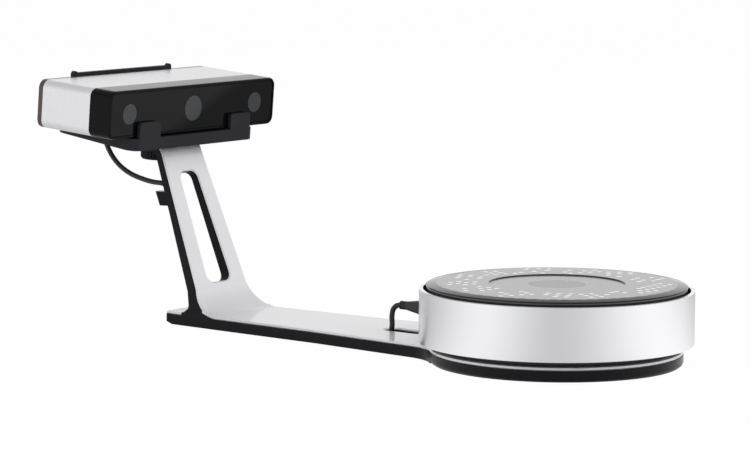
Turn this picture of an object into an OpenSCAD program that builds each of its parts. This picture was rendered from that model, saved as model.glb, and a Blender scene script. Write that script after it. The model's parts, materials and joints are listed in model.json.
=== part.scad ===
/* [Base] */
// Radius of the round base under the turntable
base_r = 97; // [92:0.5:104]
// Height of the black base moulding
base_h = 7.8; // [7.4:0.1:12]
// Height of the rubber feet
foot_h = 1; // [0.6:0.1:3]
// Distance from the turntable axis to the point where the neck width is measured
neck_x = 126; // [115:1:150]
// Half width of the bar at that point
neck_w = 50.5; // [42:0.5:58]
// Radius of the fillet where the bar runs into the disc
neck_fillet = 45; // [20:1:60]
// How far the toe reaches behind the foot of the riser
toe_reach = 37.5; // [28:0.5:60]
// Corner radius of the toe, seen from above
toe_corner_r = 3; // [1:0.5:6]

/* [Top skin] */
// Thickness of the bent silver sheet
skin_t = 2.2; // [1.5:0.1:3]
// Radius of the big bend between bar and riser
bend_r = 28; // [15:1:40]
// Half width of the slot that the turntable lead rises through
lead_slot_w = 8; // [6:0.5:10]
// Length of that slot
lead_slot_l = 42; // [30:1:50]
// Distance from the turntable axis to the rear end of that slot
slot_rear_x = 164; // [164:0.5:168]

/* [Riser] */
// Distance from the turntable axis to the foot of the riser
riser_x = 326; // [300:1:360]
// Angle of the riser above the horizontal
riser_ang = 68.3; // [60:0.5:80]
// Length of the riser's front face, from the base to the cradle
riser_len = 144.4; // [125:0.5:180]
// Half width of the riser at its foot
riser_low_w = 34.4; // [30:0.2:40]
// Half width of the riser at its top
riser_top_w = 26.6; // [20:0.2:30]
// Thickness of the black spine behind the sheet
spine_t = 5.2; // [4:0.1:8]
// Radius of the small bend behind the top of the spine
top_bend_r = 4; // [2:0.5:8]
// Radius of the fillet between spine and toe
toe_fillet = 5; // [2:0.5:8]

/* [Riser slot] */
// Distance up the riser to the lower end of the slot
slot_low = 25; // [20:1:50]
// Distance up the riser to the upper end of the slot
slot_high = 120; // [80:1:122]
// Half width of the slot at its lower end
slot_low_w = 13.5; // [9:0.1:17]
// Half width of the slot at its upper end
slot_high_w = 10.2; // [8.5:0.1:13]
// Corner radius of the slot
slot_corner_r = 7; // [3:0.5:8]

/* [Scan head] */
// Width of the scan head
head_w = 206; // [180:1:230]
// Height of the scan head
head_h = 39.3; // [36:0.1:50]
// Corner radius of the head, seen from the front
head_corner_r = 7; // [4:0.5:12]
// Depth of the black bezel
bezel_d = 21.9; // [15:0.1:28]
// Depth of the silver sleeve
sleeve_d = 51.6; // [45:0.1:70]
// Depth of the dark rear cover
cap_d = 5.8; // [4:0.1:10]
// Wall of the sleeve and the bezel
head_wall = 2.2; // [1.5:0.1:3]
// Angle at which the head looks down
head_tilt = 4.55; // [0:0.1:10]
// How far the head's face stands forward of the riser's top
face_reach = 13.3; // [5:0.1:25]
// Distance from each side of the head to the camera window there
camera_inset = 25; // [20:0.5:40]
// Radius of a camera window
camera_r = 8.3; // [6:0.1:10]
// Radius of the projector window
projector_r = 10.4; // [8:0.1:12]

/* [Cradle] */
// Half width of the cradle's tray
tray_w = 72; // [62:0.5:90]
// Height of the tray's skirt
tray_h = 9.9; // [7:0.1:16]
// Thickness of the tray's floor and walls
tray_t = 3; // [2:0.1:4]
// Corner radius of the tray, seen from above
tray_corner_r = 10; // [5:0.5:16]
// Thickness of the soft strips that the head rests on
strip_t = 0.7; // [0.4:0.1:2]
// Thickness of the front lip and its two hooks
lip_t = 3.2; // [2:0.1:5]
// Width of a hook
hook_w = 21; // [12:0.5:26]
// Distance from the middle to the centre of a hook
hook_y = 54.3; // [40:0.1:58]
// Height of a hook above the tray
hook_rise = 13.1; // [6:0.1:15]
// Half width of the plate behind the head
back_w = 62; // [50:0.5:70]
// How far that plate stands above the head
back_rise = 2.4; // [1:0.1:6]

/* [Thumb screw] */
// Radius of the knurled knob
knob_r = 14.5; // [10:0.5:18]
// Height of the knob
knob_h = 8.8; // [6:0.1:14]
// Number of grooves round the knob
knob_grooves = 24; // [12:1:36]
// Radius of the screw's shank
shank_r = 3.1; // [2.5:0.05:4]

/* [Turntable] */
// Outer radius of the silver ring
ring_r = 105; // [103:0.5:112]
// Wall of the ring
ring_wall = 3; // [2:0.1:4]
// Height of the ring
ring_h = 41.1; // [38:0.1:55]
// Gap between the base and the underside of the ring
ring_lift = 5.1; // [3:0.1:9]
// Gap between the ring and the edge of the glass platter
platter_gap = 2.3; // [1:0.1:4]
// How far the platter stands above the ring
platter_rise = 4.3; // [3.8:0.1:7]
// Thickness of the glass
glass_t = 3.7; // [3:0.1:6]
// Width of the bevel round the glass
bevel_w = 8.1; // [3:0.1:14]
// Drop of the bevel
bevel_drop = 1.3; // [0.5:0.1:2]
// Radius of the sunk middle of the platter
middle_r = 52; // [46:0.5:70]
// Depth of the sunk middle
middle_drop = 0.9; // [0.3:0.1:1.5]
// Radius of the small disc in the middle
disc_r = 21.3; // [15:0.1:30]

/* [Drive] */
// Pitch radius of the platter's gear
gear_r = 40; // [38:0.5:42]
// Teeth on the platter's gear
platter_teeth = 80; // [72:4:84]
// Teeth on the motor's pinion
pinion_teeth = 16; // [14:1:20]
// Width of the gear teeth
gear_w = 5; // [3:0.5:6]
// Radius of the fixed spindle
spindle_r = 12; // [9:0.5:14]
// Radius of the balls in the bearing
ball_r = 1.9; // [1.5:0.1:2.2]
// Number of balls
ball_count = 16; // [10:1:18]
// Radius of the motor
motor_r = 14; // [10:0.5:16]

/* [Lead] */
// Diameter of the lead
lead_d = 4.2; // [3:0.1:4.4]
// Distance from the middle line to the lead on the riser
lead_y = 20; // [18:0.5:20]
// Height of the clip on the spine
clip_h = 14; // [8:0.5:20]
// How far the clip stands out
clip_d = 12; // [8:0.5:16]
// Width of the clip
clip_w = 10; // [7:0.5:11]
// Distance up the riser to the middle of the clip
clip_s = 100; // [50:1:110]

/* [Hidden] */
$fn = 96;

// Overrun of every cut past the face that it opens
over = 1;
// Gap between pieces that lie near each other
gap = 0.3;
// Gap between pieces that slide, turn or fit in each other
run_gap = 0.1;
// Gap of a pressed ring on its seat
seat_gap = 0.02;

// Points along an arc, and the outline of a polygon with its corners rounded
function arc(c, r, a, b, n) = [for (i = [0 : n]) let (t = a + (b - a) * i / n) c + r * [cos(t), sin(t)]];
function unit(v) = v / norm(v);
function turn(a, b) = b - a > 180 ? b - a - 360 : b - a < -180 ? b - a + 360 : b - a;
function corner(a, b, c, r, n) =
    let (u = unit(a - b), v = unit(c - b), h = acos(u * v) / 2, m = b + unit(u + v) * r / sin(h),
        s = b + u * r / tan(h) - m, e = b + v * r / tan(h) - m, t = atan2(s[1], s[0]))
    arc(m, r, t, t + turn(t, atan2(e[1], e[0])), n);
function rounded_outline(p, r, n) = [for (i = [0 : len(p) - 1])
    each corner(p[(i + len(p) - 1) % len(p)], p[i], p[(i + 1) % len(p)], r, n)];
function reversed(p) = [for (i = [len(p) - 1 : -1 : 0]) p[i]];
function mirrored(p) = [for (q = reversed(p)) [q[0], -q[1]]];
// Range of a given width about its middle
function span(middle, width) = [middle - width / 2, middle + width / 2];
function up(z, h) = [z, z + h];

// Heights of the base, and the big bend between bar and riser
base_top = foot_h + base_h;
top_z = base_top + skin_t;
stack_t = skin_t + spine_t;
bend_len = bend_r * tan(riser_ang / 2);
bend_x = riser_x - bend_len;
toe_x = riser_x + toe_reach;
base_round = 2.5;
heel_l = 8;
heel_h = 2;

// Edge of the bar on the +Y side, and the fillet that runs it into the disc
edge_ang = atan2(neck_w - riser_low_w, bend_x - neck_x);
edge_off = bend_x * sin(edge_ang) + riser_low_w * cos(edge_ang);
fillet_s = -sqrt(pow(base_r + neck_fillet, 2) - pow(edge_off + neck_fillet, 2));
function edge_point(s, d) = [s * cos(edge_ang) - d * sin(edge_ang), s * sin(edge_ang) + d * cos(edge_ang)];
fillet_c = edge_point(fillet_s, edge_off + neck_fillet);
fillet_steps = 20;
fillet_arc = arc(fillet_c, neck_fillet, 270 + edge_ang, 360 - atan2(fillet_c[1], -fillet_c[0]), fillet_steps);

// Screws, and how deep their heads lie in the base
screw_r = 1.5;
screw_head_r = 2.8;
screw_head_h = 1.2;
screw_sink = 2.4;
cover_screw_l = 5.5;

// Groove for the lead down the spine, and the channel with its cover under the bar
groove_d = lead_d * 2 / 3;
lead_clear = 0.5;
lead_depth = stack_t - groove_d + lead_clear + lead_d / 2;
lead_notch_y = span(-lead_y, lead_d * 1.5);
cover_t = 1.2;
channel_roof = 1.6;
cover_rim = 2;
cover_end = 7;
slot_x = lead_slot_w - slot_rear_x;
slot_run = lead_slot_l - 2 * lead_slot_w;
channel_rear = riser_x + stack_t + toe_fillet;
channel_front = slot_rear_x - lead_slot_l;
channel_x = [-channel_rear, -channel_front];
channel_y = [-lead_y - lead_d, lead_slot_w + lead_d];
cover_screws = [for (x = channel_x + cover_end / 2 * [-1, 1], y = channel_y + 2 * screw_head_r * [1, -1])
    [x, y]];

// Foot of the spine
toe_corner = toe_fillet / tan(riser_ang / 2);
spine_rear = riser_x + stack_t / sin(riser_ang) + toe_corner;
foot_turn = riser_ang / 6;
spine_screw_l = base_h - screw_sink + spine_t / 2;
spine_screw_places = [for (s = [-1, 1]) [-riser_x - stack_t / 2, s * (riser_low_w - screw_head_r * 1.6)]];
stud_r = 6;
stud_h = 5;
stud_clear = 1;
pad_front = 252;
pad_inset = 2;
disc_pad_w = 10;

// The riser's own frame: X up its front face, Z into it
module at_riser() translate([-riser_x, 0, top_z]) rotate([0, riser_ang - 180, 0]) children();
top_bend_ang = riser_ang - head_tilt;
riser_mid_s = riser_len - (top_bend_r + stack_t) * tan(top_bend_ang / 2);

// The head's own frame: origin in the middle of the face, X out of the face
head_d = bezel_d + sleeve_d + cap_d;
tray_top = -head_h / 2 - strip_t;
tray_bottom = tray_top - tray_h;
module at_head()
    translate([-riser_x - riser_len * cos(riser_ang), 0, top_z + riser_len * sin(riser_ang)])
    rotate([0, head_tilt, 0]) translate([face_reach, 0, -tray_bottom]) children();
screw_x = -head_d / 2;
tray_front = gap + lip_t;
tray_rear = -head_d - gap - tray_t;
flange_x = -face_reach - (top_bend_r + stack_t) * tan(top_bend_ang / 2);
flange_z = tray_bottom - stack_t;
boss_r = 12;
rib_t = 2;
rib_inset = 1;
cradle_screw_x = screw_x - riser_top_w / 2;
cradle_screw_y = riser_top_w * 0.6;
cradle_screw_l = stack_t + tray_h * 0.6;
back_window_w = 50;
back_window_h = 21;
ear_r = 3;
strip_w = 10;
strip_l = tray_w * 1.6;
knob_edge = 1.4;
camera_y = head_w / 2 - camera_inset;

// Side view of sheet and spine at a depth below the top face: bar, big bend, riser, top bend and flange.
// The riser's taper starts and ends clear of both bends.
bend_c = [-bend_x, top_z + bend_r];
top_bend_c = [-riser_x, top_z] + riser_mid_s * [-cos(riser_ang), sin(riser_ang)]
    - (top_bend_r + stack_t) * [sin(riser_ang), cos(riser_ang)];
flange_run = flange_x - screw_x + riser_top_w + over;
taper_inset = 2;
bend_steps = 16;
top_bend_steps = 10;
function top_bend_line(depth) = let (r = top_bend_r + stack_t - depth) concat(
    arc(top_bend_c, r, 90 - riser_ang, 90 - head_tilt, top_bend_steps),
    [top_bend_c + r * [sin(head_tilt), cos(head_tilt)] + flange_run * [-cos(head_tilt), sin(head_tilt)]]);
function front_line(depth, turned) = concat(
    arc(bend_c, bend_r + depth, 270 - turned, 270 - riser_ang, bend_steps), top_bend_line(depth));
skin_side = concat([[bend_len - bend_x, top_z]], front_line(0, 0), reversed(front_line(skin_t, 0)),
    [[bend_len - bend_x, base_top]]);
toe_fillet_line = arc([-spine_rear, base_top + skin_t + toe_fillet], toe_fillet, -90, 90 - riser_ang, 8);
foot_x = -bend_x - (bend_r + skin_t) * sin(foot_turn);
spine_side = concat([[foot_x, base_top]], front_line(skin_t, foot_turn), reversed(top_bend_line(stack_t)),
    reversed(toe_fillet_line), [[-spine_rear, base_top]]);

// Inside of the head
nut_r = 6;
nut_h = 10;
nut_flange_r = 9;
nut_flange_h = 2;
rail_t = 2;
rail_side_h = 8;
rail_z = -head_h / 2 + head_wall + gap;
rail_top = rail_z + rail_t;
glass_recess = 0.7;
face_glass_t = 2;
glass_back = glass_recess + face_glass_t + gap / 2;
face_rim = 2.6;
face_ledge = 2.4;
edge_round = 1.4;
cap_wall = 2;
boss_in = 6;
boss_wall_r = 4.2;
board_t = 1.6;
board_gap = 9;
board_x = -head_d + cap_wall + board_gap;
board_h = 21;
rail_half = head_w / 2 - 2 * boss_in;
rail_front = -bezel_d - rail_t;
rail_rear = board_x + 2 * board_t;
module_gap = 1;
module_x = rail_front - module_gap;
module_d = 24;
module_w = 20;
engine_w = 56;
lens_t = 2.5;
barrel_wall = 1.6;
barrel_l = -module_x - glass_back - gap / 2;

// Sockets, plug and button behind the head
head_plug_y = -10;
head_plug_z = -2;
head_plug_d = 17.5;
head_plug_w = 12;
head_plug_h = 14;
head_plug_exit = 11.5;
plug_corner = 2.5;
nose_w = 9;
nose_h = 4.5;
nose_l = 7;
socket_wall = 1.4;
button_y = 38;
button_r = 4.6;
button_out = 1.6;
button_flange = 1.5;
jack_y = 16;
jack_r = 2.75;
jack_pin_r = 1;
jack_wall = 1.8;
jack_floor = 1;

// Heights of the turntable
pad_h = 1;
ring_z = top_z + ring_lift;
ring_top = ring_z + ring_h;
ring_in = ring_r - ring_wall;
platter_r = ring_in - platter_gap;
lip_w = 6;
lip_h = 2;
foot_wall = 5;
foot_r = ring_in - lip_w - foot_wall;
floor_z = ring_z + lip_h;
floor_t = 3;
floor_top = floor_z + floor_t;
platter_top = ring_top + platter_rise;
glass_z = platter_top - glass_t;
edge_r = 0.4;
disc_t = 1;
carrier_t = 6;
carrier_z = glass_z - carrier_t;
carrier_rim = 4;
carrier_ribs = 12;
carrier_clear = 1;
race_t = 3;
race_h = 5;
inner_race_r = spindle_r + race_t;
ball_track_r = inner_race_r + ball_r + run_gap / 2;
outer_race_r = ball_track_r + ball_r + run_gap / 2;
hub_in = outer_race_r + race_t + seat_gap;
hub_wall = 4;
hub_z = carrier_z - race_h;
shoulder_h = 2;
shoulder_step = 1;
spindle_boss_h = 3;
spindle_sink = 2;

// Gear, pinion and motor
gear_module = 2 * gear_r / platter_teeth;
pinion_r = gear_module * pinion_teeth / 2;
gear_web = 3;
gear_z = carrier_z - gear_w - gear_web;
bracket_t = 2;
bracket_leg = 4;
bracket_w = motor_r * 1.2;
motor_shaft_r = 1.5;
gear_clear = 1;
motor_top = gear_z - bracket_t - gear_clear;
motor_place = [0, gear_r + pinion_r, 0];

// Plug, socket and board of the turntable
plug_rise = 20;
plug_z = top_z + plug_rise;
plug_l = 38;
plug_w = 15;
plug_h = 12;
relief_l = 6;
relief_r = 3.4;
relief_wall = 0.6;
table_nose_l = 12;
table_socket_l = 14;
table_board_l = 36;
table_board_w = 36;
table_board_x = 2 * gap - ring_in + ring_wall / 2;
table_board_z = plug_z - nose_h / 2 - run_gap - socket_wall - board_t;

// Route of the lead, from the plug behind the head to the turntable's plug
lead_sides = 8;
lead_steps = 2;
lead_route = [
    [-455, -10, 172.4], [-455.5, -10, 166.2], [-455.7, -10, 158], [-454.6, -10, 149],
    [-450, -10.4, 138.8], [-443.8, -11.5, 131.2], [-435.5, -13, 124.8], [-422, -15, 118.6],
    [-404, -17.5, 114.6], [-391, -19.4, 113.2], [-380.4, -20, 112.8], [-376.9, -20, 112.1],
    [-374, -20, 110.1], [-372, -20, 107.1], [-361.2, -20, 80], [-345.3, -20, 40], [-337.3, -20, 20],
    [-333.3, -20, 9.9], [-331.5, -20, 7.1], [-328.8, -20, 5.3], [-325.5, -20, 4.6],
    [-305, -20, 4.6], [-270, -16, 4.6], [-235, -8, 4.6], [-205, -1, 4.6], [-185, 0, 4.6],
    [-166.4, 0, 4.6], [-162.2, 0, 5.7], [-159.1, 0, 8.8], [-158, 0, 13], [-158, 0, 22.6],
    [-156.9, 0, 26.8], [-153.8, 0, 29.9], [-149.4, 0, 31]
];

module tube(r, wall, h) difference() {
    cylinder(r = r, h = h);
    translate([0, 0, -over]) cylinder(r = r - wall, h = h + 2 * over);
}

module box(x, y, z) translate([x[0], y[0], z[0]]) cube([x[1] - x[0], y[1] - y[0], z[1] - z[0]]);

module rounded(w, h, r) {
    square([w - 2 * r, h], center = true);
    square([w, h - 2 * r], center = true);
    for (x = [-1, 1], y = [-1, 1]) translate([x * (w / 2 - r), y * (h / 2 - r)]) circle(r = r);
}

// A prism of an outline drawn in Y and Z, from x back to x - d
module prism_x(x, d) translate([x - d, 0, 0]) rotate([90, 0, 90]) linear_extrude(d) children();

// A slab of the head's outline, from x back to x - d
module head_slab(x, d, inset = 0) prism_x(x, d)
    rounded(head_w - 2 * inset, head_h - 2 * inset, head_corner_r - inset);

// A round bar that points along X, from x back to x - d
module head_rod(x, d, r) translate([x - d, 0, 0]) rotate([0, 90, 0]) cylinder(r = r, h = d);

// A countersunk screw whose head lies at z = 0 and whose shank points up, and the hole for it
module screw(length) {
    cylinder(r1 = screw_head_r, r2 = screw_r, h = screw_head_h);
    translate([0, 0, screw_head_h]) cylinder(r = screw_r, h = length - screw_head_h);
}
module screw_hole(length, way_in = over) {
    translate([0, 0, -way_in]) cylinder(r = screw_head_r + run_gap, h = way_in);
    cylinder(r1 = screw_head_r + run_gap, r2 = screw_r + run_gap, h = screw_head_h);
    cylinder(r = screw_r + run_gap, h = length + gap);
}

module at_places(places, z) for (p = places) translate([p[0], p[1], z]) children();

// Plan of the bar with its two fillets, without the disc
module neck_plan() {
    edge = concat([[-bend_x, riser_low_w]], fillet_arc);
    polygon(concat(edge, [[0, 0]], mirrored(edge)));
}

module toe_plan(front) {
    rear = toe_corner_r - toe_x;
    translate([rear, -riser_low_w]) square([-front - rear, 2 * riser_low_w]);
    translate([-toe_x, toe_corner_r - riser_low_w])
        square([2 * toe_corner_r, 2 * (riser_low_w - toe_corner_r)]);
    for (s = [-1, 1]) translate([rear, s * (riser_low_w - toe_corner_r)]) circle(r = toe_corner_r);
}

module lead_slot(z, h) translate([0, 0, z]) linear_extrude(h) translate([slot_x, 0]) {
    circle(r = lead_slot_w);
    translate([0, -lead_slot_w]) square([slot_run, 2 * lead_slot_w]);
    translate([slot_run, 0]) circle(r = lead_slot_w);
}

module base_moulding() color([0.07, 0.07, 0.075]) difference() {
    union() {
        translate([0, 0, foot_h]) linear_extrude(base_h) {
            neck_plan();
            toe_plan(bend_x);
        }
        translate([0, 0, foot_h]) rotate_extrude() polygon(concat([[0, 0]],
            arc([base_r - base_round, base_round], base_round, -90, 0, 6), [[base_r, base_h], [0, base_h]]));
    }
    // Channel, the ledge for its cover, and the ways up through the roof
    box(channel_x, channel_y, [0, base_top - channel_roof]);
    box(channel_x + cover_end * [-1, 1], channel_y + cover_rim * [-1, 1], [0, foot_h + cover_t + run_gap]);
    lead_slot(foot_h, base_h + over);
    box([slot_x - lead_slot_w - lead_d, slot_x], [-lead_slot_w, lead_slot_w], [foot_h, base_top + over]);
    box([-channel_rear, -riser_x], lead_notch_y, [foot_h, base_top + over]);
    // Sloping underside at the heel of the toe
    translate([-toe_x, 0, foot_h]) rotate([90, 0, 0]) linear_extrude(2 * (riser_low_w + over), center = true)
        polygon([[-over, -over], [heel_l, -over], [heel_l, 0], [0, heel_h], [-over, heel_h]]);
    // Locating hole of the turntable and the screw holes
    translate([0, 0, base_top - stud_h]) cylinder(r = stud_r + gap, h = stud_h + over);
    at_places(cover_screws, foot_h + run_gap) screw_hole(cover_screw_l);
    at_places(spine_screw_places, foot_h + screw_sink) screw_hole(base_h, screw_sink + over);
}

// Cover plate under the channel, face to face with its ledge
module channel_cover() color([0.1, 0.1, 0.1]) difference() {
    box(channel_x + (cover_end - gap) * [-1, 1], channel_y + (cover_rim - gap) * [-1, 1],
        up(foot_h + run_gap, cover_t));
    at_places(cover_screws, foot_h + run_gap) screw_hole(cover_screw_l);
}

module base_screws() color([0.6, 0.6, 0.6]) at_places(cover_screws, foot_h + run_gap) screw(cover_screw_l);

// What the riser and its flange leave standing of the sheet's side view, seen from in front and from above
module riser_outline() intersection() {
    at_riser() translate([0, 0, -riser_len]) linear_extrude(2 * riser_len) {
        side = [[-2 * bend_len, riser_low_w], [bend_len + taper_inset, riser_low_w],
            [riser_mid_s - taper_inset, riser_top_w], [2 * riser_len, riser_top_w]];
        polygon(concat(side, mirrored(side)));
    }
    at_head() translate([0, 0, -2 * riser_len]) linear_extrude(2 * riser_len)
        polygon(concat([[riser_len, -riser_len], [riser_len, riser_len], [screw_x, riser_len]],
            arc([screw_x, 0], riser_top_w, 90, 270, 2 * bend_steps), [[screw_x, -riser_len]]));
}

// Slot through sheet and spine, and the holes in the flange for the thumb screw and the cradle's screws
module riser_cuts() {
    at_riser() translate([0, 0, -over]) linear_extrude(stack_t + 2 * over)
        polygon(rounded_outline([[slot_low, slot_low_w], [slot_high, slot_high_w],
            [slot_high, -slot_high_w], [slot_low, -slot_low_w]], slot_corner_r, 6));
    at_head() {
        translate([screw_x, 0, flange_z - over]) cylinder(r = shank_r + gap, h = stack_t + 2 * over);
        cradle_screw_places(flange_z) screw_hole(cradle_screw_l);
    }
}

module cradle_screw_places(z) for (s = [-1, 1]) translate([cradle_screw_x, s * cradle_screw_y, z]) children();

module side_prism(side) rotate([90, 0, 0])
    linear_extrude(2 * (riser_low_w + over), center = true) polygon(side);

// Sheet: flat bar and disc, big bend, riser, top bend and flange
module top_skin() color([0.84, 0.84, 0.85]) difference() {
    union() {
        translate([0, 0, base_top]) linear_extrude(skin_t) {
            neck_plan();
            circle(r = base_r);
        }
        intersection() {
            side_prism(skin_side);
            riser_outline();
        }
    }
    riser_cuts();
    lead_slot(base_top - over, skin_t + 2 * over);
    translate([0, 0, base_top - over]) cylinder(r = stud_r + gap, h = skin_t + 2 * over);
}

module toe_cover() color([0.84, 0.84, 0.85])
    translate([0, 0, base_top]) linear_extrude(skin_t) toe_plan(spine_rear + gap);

// Spine: fills the space under the big bend, backs the sheet and blends into the toe
module riser_spine() color([0.06, 0.06, 0.065]) difference() {
    intersection() {
        side_prism(spine_side);
        riser_outline();
    }
    riser_cuts();
    at_riser() box([-2 * stack_t, clip_s + clip_h], lead_notch_y, [stack_t - groove_d, 4 * stack_t]);
    at_places(spine_screw_places, foot_h + screw_sink) screw_hole(spine_screw_l);
}

module spine_screws() color([0.6, 0.6, 0.6])
    at_places(spine_screw_places, foot_h + screw_sink) screw(spine_screw_l);

// Clip: a block on the spine that closes the groove over the lead
module cable_clip() color([0.08, 0.08, 0.08]) at_riser()
    translate([0, -lead_y, stack_t]) prism_x(clip_s + clip_h / 2, clip_h) difference() {
        side = [[-clip_w / 2, 0], [-clip_w / 2, clip_d - clip_w / 4], [-clip_w / 4, clip_d]];
        polygon(concat(side, [for (p = reversed(side)) [-p[0], p[1]]]));
        translate([0, lead_depth - stack_t]) circle(r = lead_d / 2 + run_gap);
    }

module toe_pad() color([0.15, 0.15, 0.15]) difference() {
    box([heel_l + pad_inset - toe_x, -pad_front], (riser_low_w - pad_inset) * [-1, 1], [0, foot_h]);
    box([-channel_rear - cover_end - gap, over - pad_front], channel_y + (cover_rim + gap) * [-1, 1],
        [-over, foot_h + over]);
}

module disc_pad() color([0.15, 0.15, 0.15]) tube(base_r - base_round, disc_pad_w, foot_h);

// The lead: a tube swept along its route, which is smoothed between its points
function lead_dir(i) = let (n = len(lead_route) - 1)
    i == 0 ? unit(lead_route[1] - lead_route[0]) : i == n ? unit(lead_route[n] - lead_route[n - 1]) :
    let (a = lead_route[i] - lead_route[i - 1], b = lead_route[i + 1] - lead_route[i])
    unit(unit(a) / norm(a) + unit(b) / norm(b));
function lead_at(i, t) = let (a = lead_route[i], b = lead_route[i + 1], l = norm(b - a))
    (1 + 2 * t) * pow(1 - t, 2) * a + t * pow(1 - t, 2) * l * lead_dir(i)
    + t * t * (3 - 2 * t) * b - t * t * (1 - t) * l * lead_dir(i + 1);
lead_line = concat(
    [for (i = [0 : len(lead_route) - 2], k = [0 : lead_steps - 1]) lead_at(i, k / lead_steps)],
    [lead_route[len(lead_route) - 1]]);
function line_dir(i) = i == 0 ? lead_dir(0) : i == len(lead_line) - 1 ? lead_dir(len(lead_route) - 1) :
    unit(lead_line[i + 1] - lead_line[i - 1]);
module sweep_tube(line, r, sides) {
    n = len(line);
    rings = [for (i = [0 : n - 1]) let (d = line_dir(i), u = unit(cross(d, [0, 1, 0])), v = cross(u, d))
        for (k = [0 : sides - 1]) line[i] + r * (cos(360 * k / sides) * u + sin(360 * k / sides) * v)];
    walls = [for (i = [0 : n - 2], k = [0 : sides - 1])
        let (a = i * sides + k, b = i * sides + (k + 1) % sides)
        for (f = [[a, b, b + sides], [a, b + sides, a + sides]]) f];
    polyhedron(rings, concat([[for (k = [sides - 1 : -1 : 0]) k]], walls,
        [[for (k = [0 : sides - 1]) (n - 1) * sides + k]]));
}
module lead() color([0.05, 0.05, 0.05]) sweep_tube(lead_line, lead_d / 2, lead_sides);

// Nose of a plug, from x back to x - d, about a height z
module plug_nose(x, d, grow = 0) prism_x(x, d) square([nose_w + 2 * grow, nose_h + 2 * grow], center = true);

// Right-angled plug behind the head: body, nose and strain relief
module lead_head_plug() color([0.09, 0.09, 0.09]) at_head() translate([-head_d, head_plug_y, head_plug_z]) {
    translate([-gap - head_plug_d / 2, 0, -head_plug_h / 2]) linear_extrude(head_plug_h)
        polygon(rounded_outline([for (x = [-1, 1], y = [-x, x]) [x * head_plug_d, y * head_plug_w] / 2],
            plug_corner, 4));
    plug_nose(nose_l, nose_l + 2 * gap);
    translate([-head_plug_exit, 0, -head_plug_h / 2 - relief_l]) difference() {
        cylinder(r1 = relief_r - relief_wall / 2, r2 = relief_r + relief_wall, h = relief_l);
        translate([0, 0, -over]) cylinder(r = lead_d / 2 + run_gap, h = relief_l + over);
    }
}

// Straight plug at the turntable: strain relief, tapered grip and nose
module lead_table_plug() color([0.09, 0.09, 0.09]) translate([-ring_r - gap, 0, plug_z]) {
    hull() {
        prism_x(0, plug_l * 0.45) rounded(plug_w, plug_h, plug_h / 4, $fn = 32);
        head_rod(relief_wall - plug_l, relief_wall, relief_r, $fn = 32);
    }
    head_rod(-plug_l, relief_l, relief_r - relief_wall);
    for (i = [0 : 2]) head_rod(-plug_l - relief_l * i / 3 - relief_wall, 2 * relief_wall, relief_r);
    plug_nose(table_nose_l, table_nose_l + over);
}

module tray_plan(inset = 0) translate([(tray_front + tray_rear) / 2, 0])
    rounded(tray_front - tray_rear - 2 * inset, 2 * (tray_w - inset), tray_corner_r - inset);

// Cradle: tray with a skirt, ribs and bosses, two hooks in front and a plate behind
module cradle() color([0.16, 0.16, 0.17]) at_head() difference() {
    union() {
        translate([0, 0, tray_bottom]) difference() {
            linear_extrude(tray_h) tray_plan();
            translate([0, 0, -over]) linear_extrude(tray_h - tray_t + over) tray_plan(tray_t);
        }
        translate([0, 0, tray_bottom]) intersection() {
            union() {
                translate([screw_x, 0, 0]) cylinder(r = boss_r, h = tray_h);
                cradle_screw_places(0) cylinder(r = 2 * screw_head_r, h = tray_h);
                for (s = [-1, 0, 1])
                    box([tray_rear, tray_front], span(s * tray_w / 2, rib_t), [rib_inset, tray_h]);
                box(span(screw_x, rib_t), tray_w * [-1, 1], [rib_inset, tray_h]);
            }
            linear_extrude(tray_h) tray_plan(tray_t / 2);
        }
        for (s = [-1, 1]) intersection() {
            translate([0, s * hook_y, tray_bottom + (tray_h + hook_rise) / 2])
                prism_x(tray_front, lip_t) rounded(hook_w, tray_h + hook_rise, lip_t);
            translate([0, 0, tray_bottom]) linear_extrude(tray_h + hook_rise + over) tray_plan();
        }
        prism_x(tray_rear + tray_t, tray_t) {
            translate([-back_w, tray_bottom + tray_t])
                square([2 * back_w, head_h / 2 + back_rise - tray_bottom - tray_t]);
            for (s = [-1, 1]) translate([s * (back_w - ear_r / 2), head_h / 2 + back_rise - ear_r / 2])
                circle(r = ear_r);
        }
    }
    // Window in the plate for the sockets and the button, and the screw holes
    prism_x(tray_rear + tray_t + over, tray_t + 2 * over) rounded(2 * back_window_w, back_window_h, lip_t);
    translate([screw_x, 0, tray_bottom - over]) cylinder(r = shank_r + gap, h = tray_h + 2 * over);
    cradle_screw_places(flange_z) cylinder(r = screw_r + run_gap, h = cradle_screw_l + gap);
}

module cradle_strips() color([0.2, 0.2, 0.2]) at_head() for (s = [-1, 1])
    box(span(screw_x + s * head_d / 4, strip_w), span(0, strip_l), [tray_top, tray_top + strip_t]);

module cradle_screws() color([0.6, 0.6, 0.6]) at_head() cradle_screw_places(flange_z) screw(cradle_screw_l);

// Thumb screw: knurled knob with its shank
module thumb_screw() color([0.08, 0.08, 0.08]) at_head() translate([screw_x, 0, flange_z - run_gap]) {
    difference() {
        translate([0, 0, -knob_h]) rotate_extrude() polygon([[0, 0], [knob_r - knob_edge, 0],
            [knob_r, knob_edge], [knob_r, knob_h - knob_edge], [knob_r - knob_edge, knob_h], [0, knob_h]]);
        for (i = [0 : knob_grooves - 1]) rotate([0, 0, 360 * i / knob_grooves])
            translate([knob_r, 0, -knob_h - over])
            cylinder(r = knob_edge * 0.7, h = knob_h + 2 * over, $fn = 16);
    }
    cylinder(r = shank_r, h = stack_t + tray_h + strip_t + nut_h - nut_flange_h);
}

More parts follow.
